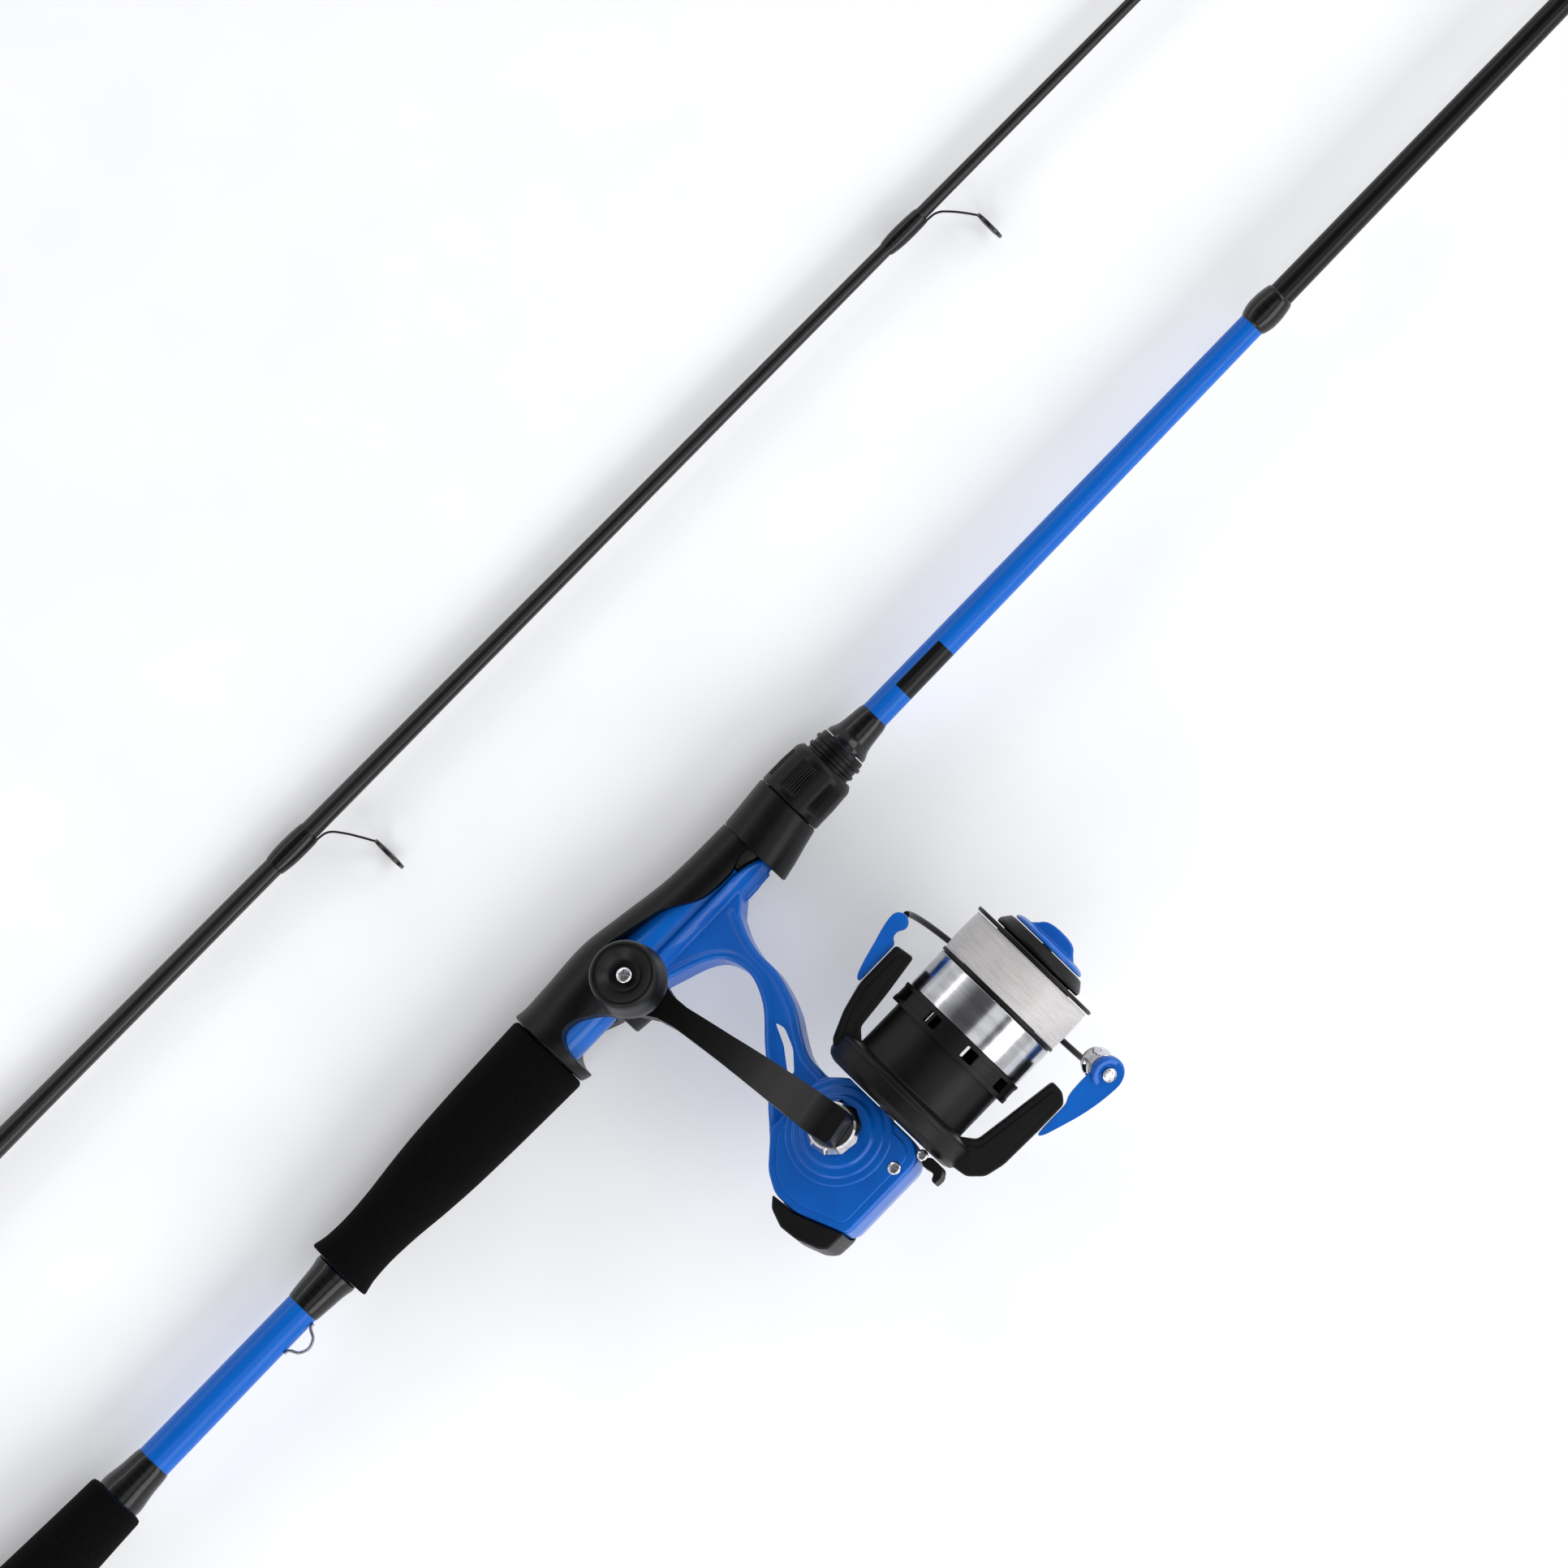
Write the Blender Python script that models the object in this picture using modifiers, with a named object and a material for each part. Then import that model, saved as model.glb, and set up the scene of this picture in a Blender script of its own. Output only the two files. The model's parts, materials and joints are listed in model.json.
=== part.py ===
"""A two-piece spinning rod with its reel, lying on a flat surface with the sections side by side.

X runs along the rod towards the tip, Z is up, and the reel is on the -Y side of the rod.
Stations along the butt section are measured from the butt end, in metres.
The butt section is rolled about its own axis, so that it rests on its grip and the bail wire.
"""

import math

import bmesh
import bpy

# Whole object
ORIGIN = (-0.5841, 0.0124, 0.0)  # where the butt end stands, so that the whole is centred
ROLL = math.radians(19.0)  # how far the reel is lifted about the rod
AXIS_HEIGHT = 0.0150
GAP = 0.0003  # between pieces that touch
SKIN = 0.00015  # between a winding and the blank inside it
RUNNING_FIT = 0.0001  # between a shaft and the bore that turns on it

# Butt section, from the butt end
BUTT_LENGTH = 0.990
BUTT_RADIUS = 0.0063
BUTT_END_RADIUS = 0.00295
BLANK_WALL = 0.0012
CAP_END = 0.012
CAP_FLOOR = 0.004
CAP_ROOM = 0.0005
BLANK_START = 0.005
REAR_GRIP_END = 0.126
REAR_WINDING_END = 0.142
KEEPER_STATION = 0.2005
FORE_WINDING_START = 0.208
FORE_GRIP_START = 0.224
SEAT_START = 0.3178
REEL_STATION = 0.362
JOINT_START = 0.6290
JOINT_LENGTH = 0.0130
STRIPPER_STATION = 0.820
STRIPPER_RADIUS = 0.0140
STRIPPER_REACH = 0.0250
STRIPPER_HALF_FOOT = 0.0155

# Seat, from the reel station
SLEEVE_RADIUS = 0.0080
SLEEVE_FRONT = 0.0358
THREAD_RADIUS = 0.0084
THREAD_START = 0.0475
SEAT_BORE = 0.0058
HOOD_START = 0.0435
HOOD_LENGTH = 0.0178
NUT_LENGTH = 0.0170
SEAT_FRONT = 0.0862
NUT_RADIUS = 0.0114

# Tip section, from its own base
TIP_LENGTH = 1.030
TIP_BASE_STATION = 0.137  # where its base lies beside the butt section
TIP_SPACING = 0.1032  # between the two sections, at the base
TIP_SKEW = math.radians(-0.76)
TIP_HEIGHT = 0.0062
SOCKET_DEPTH = 0.050
SOCKET_RADIUS = 0.00315
GUIDE_STATIONS = (0.189, 0.457, 0.670, 0.855)
GUIDE_RADII = (0.0062, 0.0052, 0.0047, 0.0043)
GUIDE_REACHES = (0.0225, 0.0175, 0.0145, 0.0125)

# Reel, from the spool's axis at the crank's station
REEL_DROP = 0.0925
CRANK_OFFSET = 0.0046
CRANK_LENGTH = 0.0630
CRANK_LEAN = math.radians(9.6)
KNOB_BASE = 0.0540
SPINDLE_RADIUS = 0.0020
SHAFT_RADIUS = 0.0019
DRIVE_RADIUS = 0.0024
SHAFT_LOW = -0.0147
SHAFT_HIGH = 0.0161
FOOT_INNER = 0.0083
FOOT_OUTER = 0.0112
BODY_LOW = -0.0145
BODY_HIGH = 0.0080
COVER_TOP = 0.0105
BODY_WALL = 0.0018
LEVER_PIVOT = (0.0128, -0.0205, 0.0030)
GEAR_RADIUS = 0.0105
GEAR_TEETH = 30
PINION_TEETH = 6
PINION_RADIUS = 0.0034
OSCILLATION_RADIUS = 0.0072
OSCILLATION_TEETH = 20
OSCILLATION_STATION = -0.0135
BLOCK_STATION = -0.0070

# Rotor and bail
ROTOR_REAR = 0.01475
DRUM_RADIUS = 0.0210
DRUM_FRONT = 0.0415
ROTOR_BORE = 0.0038
ARM_HALF_WIDTH = 0.0072
BAIL_STATION = 0.0450
BAIL_DEPTH = 0.0441
WIRE_RADIUS = 0.0010
ROLLER_TILT = math.radians(30.0)
ARM_END = (0.0702, -0.0400, 0.0040)
ROLLER_RADIUS = 0.0052
ROLLER_SHAFT = 0.0014

# Spool
SPOOL_REAR = 0.0410
SKIRT_RADIUS = 0.0235
SKIRT_FRONT = 0.0480
BAND_FRONT = 0.0626
LIP_REAR = 0.0788
LIP_FRONT = 0.0801
LIP_RADIUS = 0.02375
LINE_RADIUS = 0.0230
ARBOR_RADIUS = 0.0150
WINDOWS = 9
WINDOW_PHASE = 13.9  # degrees, of the window nearest the top

COLOURS = {
    "blank_blue": ("#0A78E8", 0.25, 0.0),
    "reel_blue": ("#0A4FC4", 0.35, 0.2),
    "black_plastic": ("#1A1A1C", 0.45, 0.0),
    "black_gloss": ("#0C0C0E", 0.12, 0.0),
    "black_foam": ("#101010", 0.95, 0.0),
    "black_metal": ("#17171A", 0.35, 0.6),
    "chrome": ("#C9CCD1", 0.12, 1.0),
    "steel": ("#8E9196", 0.35, 1.0),
    "brass": ("#B08D4A", 0.35, 1.0),
    "ceramic": ("#2B2C30", 0.15, 0.0),
    "nylon_line": ("#C8C4C2", 0.35, 0.0),
    "rubber": ("#141414", 0.8, 0.0),
}


def clear_scene():
    for obj in list(bpy.data.objects):
        bpy.data.objects.remove(obj, do_unlink=True)


def new_collection(name, helper=False):
    collection = bpy.data.collections.new(name)
    collection.hide_render = helper
    bpy.context.scene.collection.children.link(collection)
    return collection


def linear(part):
    return part / 12.92 if part <= 0.04045 else ((part + 0.055) / 1.055) ** 2.4


def material(name):
    found = bpy.data.materials.get(name)
    if found:
        return found
    code, roughness, metallic = COLOURS[name]
    made = bpy.data.materials.new(name)
    made.use_nodes = True
    shader = made.node_tree.nodes["Principled BSDF"]
    rgb = [linear(int(code[i:i + 2], 16) / 255) for i in (1, 3, 5)]
    shader.inputs["Base Color"].default_value = (*rgb, 1.0)
    shader.inputs["Roughness"].default_value = roughness
    shader.inputs["Metallic"].default_value = metallic
    return made


clear_scene()
PARTS = new_collection("fishing_rod_and_reel")
CUTTERS = new_collection("cutters", helper=True)


def empty(name, parent=None, location=(0, 0, 0), rotation=(0, 0, 0)):
    made = bpy.data.objects.new(name, None)
    made.empty_display_size = 0.01
    PARTS.objects.link(made)
    made.parent = parent
    made.location = location
    made.rotation_euler = rotation
    return made


def place(name, data, finish, parent, location=(0, 0, 0), rotation=(0, 0, 0)):
    made = bpy.data.objects.new(name, data)
    PARTS.objects.link(made)
    if finish:
        data.materials.append(material(finish))
    made.parent = parent
    made.location = location
    made.rotation_euler = rotation
    return made


def as_cutter(obj):
    """Moves a helper out of the parts and shows it as a wire."""
    PARTS.objects.unlink(obj)
    CUTTERS.objects.link(obj)
    obj.hide_render = True
    obj.display_type = "WIRE"
    return obj


def boolean(obj, other, operation="DIFFERENCE"):
    modifier = obj.modifiers.new(f"{operation.lower()} {other.name}", "BOOLEAN")
    modifier.operation = operation
    modifier.solver = "EXACT"
    modifier.object = as_cutter(other)
    return obj


def joined(obj, *others):
    for other in others:
        boolean(obj, other, "UNION")
    return obj


def cut(obj, *others):
    for other in others:
        boolean(obj, other)
    return obj


def bevelled(obj, width, segments=2, angle=40):
    modifier = obj.modifiers.new("soft edges", "BEVEL")
    modifier.width = width
    modifier.segments = segments
    modifier.limit_method = "ANGLE"
    modifier.angle_limit = math.radians(angle)
    return obj


ALONG_X = (0, math.pi / 2, 0)  # turns an object's own Z axis onto X


def turned(name, outer, bore, finish, parent, location=(0, 0, 0), rotation=ALONG_X, steps=24):
    """A turned piece: outer is (station, radius) from its front to its rear, bore the same or one radius."""
    if isinstance(bore, (int, float)):
        bore = ((outer[0][0], bore), (outer[-1][0], bore))
    if bore:
        rim = list(outer) + list(reversed(bore))
    else:
        rim = [(outer[0][0], 0.0), *outer, (outer[-1][0], 0.0)]
    mesh = bpy.data.meshes.new(name)
    points = [(radius, 0, station) for station, radius in rim]
    edges = [(i, i + 1) for i in range(len(points) - 1)]
    if bore:
        edges.append((len(points) - 1, 0))
    mesh.from_pydata(points, edges, [])
    made = place(name, mesh, finish, parent, location, rotation)
    screw = made.modifiers.new("turn", "SCREW")
    screw.steps = screw.render_steps = steps
    screw.use_merge_vertices = True
    screw.merge_threshold = 0.00001
    screw.use_smooth_shade = True
    return made


def flat(name, outline, depth, finish, parent, location=(0, 0, 0), rotation=(0, 0, 0), holes=()):
    """A plate cut from a flat outline, as a mesh, with its thickness shared about its own middle."""
    curve = bpy.data.curves.new(name, "CURVE")
    curve.dimensions = "2D"
    curve.fill_mode = "BOTH"
    curve.extrude = depth / 2
    for ring in (outline, *holes):
        spline = curve.splines.new("POLY")
        spline.points.add(len(ring) - 1)
        for point, (x, y) in zip(spline.points, ring):
            point.co = (x, y, 0, 1)
        spline.use_cyclic_u = True
    return as_mesh(name, curve, finish, parent, location, rotation, flatten=True)


def as_mesh(name, curve, finish, parent, location, rotation, flatten=False):
    """A curve's solid as a welded mesh, so that it takes Booleans and bevels."""
    helper = bpy.data.objects.new(name + " curve", curve)
    PARTS.objects.link(helper)
    graph = bpy.context.evaluated_depsgraph_get()
    mesh = bpy.data.meshes.new_from_object(helper.evaluated_get(graph))
    mesh.name = name
    bpy.data.objects.remove(helper)
    work = bmesh.new()
    work.from_mesh(mesh)
    bmesh.ops.remove_doubles(work, verts=work.verts, dist=0.000001)
    if flatten:
        bmesh.ops.dissolve_limit(work, angle_limit=0.001, verts=work.verts, edges=work.edges)
    bmesh.ops.recalc_face_normals(work, faces=work.faces)
    work.to_mesh(mesh)
    work.free()
    mesh.materials.clear()
    return place(name, mesh, finish, parent, location, rotation)


def wire(name, points, radius, finish, parent, location=(0, 0, 0), rotation=(0, 0, 0), sides=2):
    """A round wire through the points, as a mesh."""
    curve = bpy.data.curves.new(name, "CURVE")
    curve.dimensions = "3D"
    curve.bevel_depth = radius
    curve.bevel_resolution = sides
    curve.use_fill_caps = True
    spline = curve.splines.new("POLY")
    spline.points.add(len(points) - 1)
    for point, where in zip(spline.points, points):
        point.co = (*where, 1)
    made = as_mesh(name, curve, finish, parent, location, rotation)
    made.data.polygons.foreach_set("use_smooth", [True] * len(made.data.polygons))
    return made


def box(name, size, parent, location=(0, 0, 0), rotation=(0, 0, 0), finish=None):
    work = bmesh.new()
    bmesh.ops.create_cube(work, size=1.0)
    bmesh.ops.scale(work, vec=size, verts=work.verts)
    mesh = bpy.data.meshes.new(name)
    work.to_mesh(mesh)
    work.free()
    return place(name, mesh, finish, parent, location, rotation)


def rod(name, radius, length, parent, location=(0, 0, 0), rotation=(0, 0, 0), finish=None, steps=24):
    """A plain cylinder about its own Z axis, centred on its location."""
    work = bmesh.new()
    bmesh.ops.create_cone(
        work, cap_ends=True, segments=steps, radius1=radius, radius2=radius, depth=length
    )
    mesh = bpy.data.meshes.new(name)
    work.to_mesh(mesh)
    work.free()
    return place(name, mesh, finish, parent, location, rotation)


def offset_cone(name, rear, front, parent, finish=None, steps=32):
    """A lofted sleeve between two circles about X, each (station, centre, radius); centres lie on Y."""
    work = bmesh.new()
    bmesh.ops.create_cone(work, cap_ends=True, segments=steps, radius1=1.0, radius2=1.0, depth=1.0)
    for vertex in work.verts:
        station, centre, radius = front if vertex.co.z > 0 else rear
        across, up = vertex.co.x, vertex.co.y
        vertex.co = (station, centre + up * radius, across * -radius)
    bmesh.ops.recalc_face_normals(work, faces=work.faces)
    mesh = bpy.data.meshes.new(name)
    work.to_mesh(mesh)
    work.free()
    return place(name, mesh, finish, parent)


def arc(centre, radius, start, end, count):
    """Points on an arc, with the angles in degrees."""
    turns = [math.radians(start + (end - start) * i / (count - 1)) for i in range(count)]
    return [(centre[0] + radius * math.cos(t), centre[1] + radius * math.sin(t)) for t in turns]


def butt_radius(station):
    return BUTT_RADIUS + (BUTT_END_RADIUS - BUTT_RADIUS) * station / BUTT_LENGTH


def tip_radius(station):
    """The tip section's taper: thick over the socket, then a fast and a slow taper."""
    knots = ((0.0, 0.0040), (0.060, 0.0034), (0.189, 0.0031), (0.534, 0.0018), (TIP_LENGTH, 0.0008))
    for (near, wide), (far, narrow) in zip(knots, knots[1:]):
        if station <= far:
            return wide + (narrow - wide) * (station - near) / (far - near)
    return knots[-1][1]


def winding(name, start, end, bulge, radius_at, parent, ends=0.0004):
    """A lacquered thread winding on a blank: thin at both ends and swollen in the middle."""
    bore = max(radius_at(start), radius_at(end)) + SKIN
    profile = []
    for i in range(5):
        share = i / 4
        station = end + (start - end) * share
        profile.append((station, bore + ends + bulge * math.sin(math.pi * share)))
    return turned(name, profile, bore, "black_gloss", parent, steps=16)


# Butt section


def build_handle(butt):
    turned(
        "butt_cap",
        [
            (CAP_FLOOR, BUTT_RADIUS + CAP_ROOM),
            (CAP_END, BUTT_RADIUS + CAP_ROOM),
            (CAP_END, 0.0148),
            (0.004, 0.0150),
            (0.001, 0.0142),
            (0.0, 0.0120),
        ],
        None,
        "rubber",
        butt,
    )
    turned(
        "rear_grip",
        [
            (REAR_GRIP_END, 0.0099),
            (0.105, 0.0107),
            (0.060, 0.0128),
            (0.030, 0.0144),
            (CAP_END + GAP, 0.0148),
        ],
        BUTT_RADIUS + SKIN,
        "black_foam",
        butt,
    )
    turned(
        "fore_grip",
        [
            (SEAT_START - GAP, 0.0140),
            (0.300, 0.0136),
            (0.271, 0.0125),
            (0.248, 0.0103),
            (0.2375, 0.0097),
            (0.229, 0.0102),
            (FORE_GRIP_START, 0.0108),
        ],
        butt_radius(FORE_GRIP_START) + SKIN,
        "black_foam",
        butt,
    )


def build_butt_blank(butt):
    stations = (BUTT_LENGTH, JOINT_START, REEL_STATION, REAR_GRIP_END, BLANK_START)
    outer = [(station, butt_radius(station)) for station in stations]
    bore = [(station, butt_radius(station) - BLANK_WALL) for station in stations]
    turned("butt_blank", outer, bore, "blank_blue", butt, steps=24)


def build_butt_windings(butt):
    rear = butt_radius(REAR_GRIP_END) + SKIN
    turned(
        "rear_winding",
        [
            (REAR_WINDING_END, rear + 0.0003),
            (REAR_GRIP_END + 0.008, rear + 0.0008),
            (REAR_GRIP_END + GAP, 0.0075),
        ],
        rear,
        "black_gloss",
        butt,
        steps=24,
    )
    fore = butt_radius(FORE_WINDING_START) + SKIN
    turned(
        "fore_winding",
        [
            (FORE_GRIP_START - GAP, 0.0072),
            (FORE_WINDING_START + 0.006, 0.0064),
            (FORE_WINDING_START, fore + 0.0002),
        ],
        fore,
        "black_gloss",
        butt,
        steps=24,
    )
    seat_front = REEL_STATION + SEAT_FRONT
    inner = butt_radius(seat_front) + SKIN
    turned(
        "seat_winding",
        [
            (seat_front + 0.0135, inner + 0.0002),
            (seat_front + 0.008, inner + 0.0008),
            (seat_front + GAP, 0.0075),
        ],
        inner,
        "black_gloss",
        butt,
        steps=24,
    )
    winding("joint_winding", JOINT_START, JOINT_START + JOINT_LENGTH, 0.0009, butt_radius, butt)


def build_hook_keeper(butt):
    """A bent wire loop standing on the blank, on the reel's side."""
    base = KEEPER_STATION
    foot = butt_radius(base) + 0.0007
    ring = [
        (base - 0.0065, -foot),
        (base - 0.0048, -foot - 0.0012),
        (base - 0.0032, -foot - 0.0048),
        (base, -foot - 0.0062),
        (base + 0.0032, -foot - 0.0048),
        (base + 0.0048, -foot - 0.0012),
        (base + 0.0065, -foot),
    ]
    wire("hook_keeper", [(x, y, 0) for x, y in ring], 0.0005, "steel", butt, sides=1)


def build_stripper(butt):
    """The large guide of the butt section, with a foot each way."""
    surface = butt_radius(STRIPPER_STATION)
    holder = turned(
        "stripper_frame",
        [(0.0008, STRIPPER_RADIUS), (-0.0008, STRIPPER_RADIUS)],
        STRIPPER_RADIUS - 0.0016,
        "black_metal",
        butt,
        (STRIPPER_STATION, -STRIPPER_REACH, 0),
        steps=32,
    )
    low = -surface - 0.0009
    legs = []
    for end in (-1, 1):
        points = [
            (STRIPPER_STATION + end * STRIPPER_HALF_FOOT, low, 0),
            (STRIPPER_STATION + end * 0.0080, low, 0),
            (STRIPPER_STATION + end * 0.0060, low - 0.0020, 0),
            (STRIPPER_STATION, -STRIPPER_REACH + STRIPPER_RADIUS - 0.0006, 0),
        ]
        legs.append(wire(f"stripper leg {end}", points, 0.00065, None, butt, sides=1))
    joined(holder, *legs)
    turned(
        "stripper_ring",
        [(0.0012, 0.0112), (0.0010, 0.0121), (-0.0010, 0.0121), (-0.0012, 0.0112)],
        [(0.0010, 0.0108), (-0.0010, 0.0108)],
        "ceramic",
        butt,
        (STRIPPER_STATION, -STRIPPER_REACH, 0),
    )
    for end, name in ((-1, "stripper_winding_rear"), (1, "stripper_winding_front")):
        middle = STRIPPER_STATION + end * 0.0225
        winding(name, middle - 0.0065, middle + 0.0065, 0.0006, butt_radius, butt)


# Seat


def seat_shell(butt):
    """The seat's black back, which swells behind the hand and thins towards the hood."""
    sections = (
        (-0.0442, 0.0008, 0.0143),
        (-0.0395, 0.0002, 0.0144),
        (-0.0300, 0.0020, 0.0130),
        (-0.0140, 0.0030, 0.0127),
        (0.0010, 0.0018, 0.0118),
        (0.0200, 0.0004, 0.0104),
        (0.0432, 0.0000, 0.0101),
    )
    steps = 32
    work = bmesh.new()
    rings = []
    for station, centre, radius in sections:
        turns = [2 * math.pi * i / steps for i in range(steps)]
        rings.append(
            [
                work.verts.new((station, centre + radius * math.cos(t), radius * math.sin(t)))
                for t in turns
            ]
        )
    for near, far in zip(rings, rings[1:]):
        for i in range(steps):
            work.faces.new((near[i], near[(i + 1) % steps], far[(i + 1) % steps], far[i]))
    work.faces.new(rings[0])
    work.faces.new(rings[-1])
    bmesh.ops.recalc_face_normals(work, faces=work.faces)
    mesh = bpy.data.meshes.new("reel_seat")
    work.to_mesh(mesh)
    work.free()
    return place("reel_seat", mesh, "black_plastic", butt, (REEL_STATION, 0, 0))


def build_seat(butt):
    at = (REEL_STATION, 0, 0)
    shell = seat_shell(butt)
    fixed_hood = offset_cone(
        "fixed hood", (-0.0212, -0.0030, 0.0126), (-0.0110, -0.0030, 0.0132), butt
    )
    barrel = turned(
        "threaded barrel",
        [
            (SEAT_FRONT, THREAD_RADIUS),
            (THREAD_START, THREAD_RADIUS),
            (THREAD_START, SLEEVE_RADIUS),
            (SLEEVE_FRONT + GAP, SLEEVE_RADIUS),
        ],
        None,
        None,
        butt,
        at,
    )
    fixed_hood.location = at
    rear_window = flat(
        "rear window",
        [(-0.0385, -0.030), (-0.0390, -0.004), (-0.0370, 0.0004), (-0.0235, 0.0008), (-0.0212, -0.030)],
        0.06,
        None,
        butt,
        at,
    )
    front_window = flat(
        "front window",
        [
            (-0.0108, -0.030),
            (-0.0108, 0.0070),
            (-0.0024, 0.0056),
            (0.0110, 0.0023),
            (0.0260, -0.0044),
            (0.0440, -0.0046),
            (0.0440, -0.030),
        ],
        0.06,
        None,
        butt,
        at,
    )
    pocket = offset_cone("foot pocket", (-0.0195, -0.0026, 0.0108), (-0.0100, -0.0026, 0.0113), butt)
    pocket.location = at
    inside = turned(
        "sleeve space",
        [(SLEEVE_FRONT + GAP, SLEEVE_RADIUS + GAP), (-0.0500, SLEEVE_RADIUS + GAP)],
        None,
        None,
        butt,
        at,
    )
    bore = turned("seat bore", [(0.0900, SEAT_BORE), (-0.0500, SEAT_BORE)], None, None, butt, at)
    cut(shell, rear_window, front_window)
    joined(shell, fixed_hood, barrel)
    cut(shell, pocket, inside, bore)
    turned(
        "seat_sleeve",
        [(SLEEVE_FRONT, SLEEVE_RADIUS), (-0.0440, SLEEVE_RADIUS)],
        SEAT_BORE,
        "blank_blue",
        butt,
        at,
    )


def build_hood_and_nut(butt):
    front = HOOD_START + HOOD_LENGTH
    hood = offset_cone(
        "moving_hood", (HOOD_START, -0.0028, 0.0127), (front, 0.0, 0.0114), butt, "black_plastic"
    )
    hood.location = (REEL_STATION, 0, 0)
    space = offset_cone(
        "hood space", (HOOD_START - 0.001, -0.0028, 0.0114), (front - 0.004, -0.0010, 0.0100), butt
    )
    space.location = hood.location
    through = rod("hood bore", THREAD_RADIUS + GAP, 0.05, butt, (REEL_STATION + front, 0, 0), ALONG_X)
    cut(hood, space, through)
    turned(
        "locking_nut",
        [
            (NUT_LENGTH, 0.0096),
            (NUT_LENGTH - 0.0015, 0.0108),
            (NUT_LENGTH / 2, NUT_RADIUS),
            (0.0010, NUT_RADIUS),
            (0.0, 0.0110),
        ],
        THREAD_RADIUS + GAP,
        "black_plastic",
        butt,
        (REEL_STATION + front + GAP, 0, 0),
    )


# Tip section


def build_tip_blank(tip):
    stations = (TIP_LENGTH, 0.780, 0.534, 0.189, 0.060, 0.0)
    outer = [(station, tip_radius(station)) for station in stations]
    outer[0] = (TIP_LENGTH - 0.004, tip_radius(TIP_LENGTH))
    blank = turned("tip_blank", outer, None, "black_metal", tip, steps=20)
    socket = rod("ferrule socket", SOCKET_RADIUS, SOCKET_DEPTH * 2, tip, (0, 0, 0), ALONG_X, steps=20)
    cut(blank, socket)
    winding("ferrule_winding", 0.001, 0.016, 0.0003, tip_radius, tip)


def guide_frame(name, station, radius, reach, surface, tip):
    """A single-foot guide: a ring holder on one bent leg, its foot lying on the blank."""
    holder = turned(
        name,
        [(0.0006, radius), (-0.0006, radius)],
        radius - 0.0009,
        "black_metal",
        tip,
        (station, -reach, 0),
        steps=24,
    )
    low = -surface - 0.0009
    bend = (reach - radius - surface) * 0.35
    points = [
        (station - 0.0105, low, 0),
        (station - 0.0075, low, 0),
        (station - 0.0050, low - bend * 0.6, 0),
        (station - 0.0012, -reach + radius + bend * 0.4, 0),
        (station, -reach + radius - 0.0004, 0),
    ]
    return joined(holder, wire(f"{name} leg", points, 0.0005, None, tip, sides=1))


def build_tip_guides(tip):
    for i, (station, radius, reach) in enumerate(zip(GUIDE_STATIONS, GUIDE_RADII, GUIDE_REACHES), 1):
        surface = tip_radius(station - 0.010)
        guide_frame(f"guide_{i}_frame", station, radius, reach, surface, tip)
        winding(f"guide_{i}_winding", station - 0.0265, station - 0.0110, 0.0005, tip_radius, tip)
        if i <= 2:
            lining = radius - 0.0009 - GAP / 3
            turned(
                f"guide_{i}_ring",
                [(0.0008, lining), (-0.0008, lining)],
                lining - 0.0006,
                "ceramic",
                tip,
                (station, -reach, 0),
                steps=24,
            )


def build_tip_top(tip):
    end = tip_radius(TIP_LENGTH)
    tube = turned(
        "tip_top",
        [(0.0, end + 0.0006), (-0.0140, end + 0.0006)],
        None,
        "black_metal",
        tip,
        (TIP_LENGTH, 0, 0),
        steps=16,
    )
    width = tip_radius(TIP_LENGTH - 0.016) + SKIN
    room = rod("tip top bore", width, 0.0274, tip, (TIP_LENGTH - 0.0175, 0, 0), ALONG_X, steps=16)
    cut(tube, room)
    ring_centre = (TIP_LENGTH - 0.0006, -0.0042, 0)
    outer = [(0.0007, 0.0036), (-0.0007, 0.0036)]
    ring = turned("tip top ring", outer, 0.0025, None, tip, ring_centre, steps=20)
    ring.rotation_euler = (0, math.pi / 2, math.radians(-20))
    joined(tube, ring)


# Reel body


def build_foot(reel):
    """The curved foot that the two hoods clamp, about the rod's axis."""
    half = 52
    inner = arc((0, 0), FOOT_INNER, 180 - half, 180 + half, 13)
    outer = arc((0, 0), FOOT_OUTER, 180 + half, 180 - half, 13)
    return flat(
        "reel foot",
        inner + outer,
        0.0640,
        None,
        reel,
        (0.0140, REEL_DROP, 0),
        (math.pi / 2, 0, math.pi / 2),
    )


def build_stem(reel):
    """The curved stem between the foot and the gearbox, with the slit between its two ribs."""
    outline = [
        (0.0300, 0.0838),
        (0.0270, 0.0775),
        (0.0240, 0.0712),
        (0.0224, 0.0640),
        (0.0223, 0.0563),
        (0.0205, 0.0490),
        (0.0178, 0.0423),
        (0.0135, 0.0355),
        (0.0105, 0.0293),
        (0.0098, 0.0214),
        (0.0090, 0.0120),
        (-0.0200, 0.0120),
        (-0.0135, 0.0231),
        (-0.0030, 0.0345),
        (0.0035, 0.0425),
        (0.0105, 0.0500),
        (0.0140, 0.0558),
        (0.0157, 0.0610),
        (0.0155, 0.0658),
        (0.0133, 0.0715),
        (0.0080, 0.0755),
        (-0.0028, 0.0795),
        (-0.0120, 0.0838),
    ]
    stem = flat("stem", outline, 0.0110, None, reel)
    slit = flat(
        "stem slit",
        [(0.0094, 0.0443), (0.0066, 0.0385), (0.0010, 0.0312), (0.0060, 0.0340)],
        0.03,
        None,
        reel,
    )
    return cut(bevelled(stem, 0.0030, 3), slit)


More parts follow.
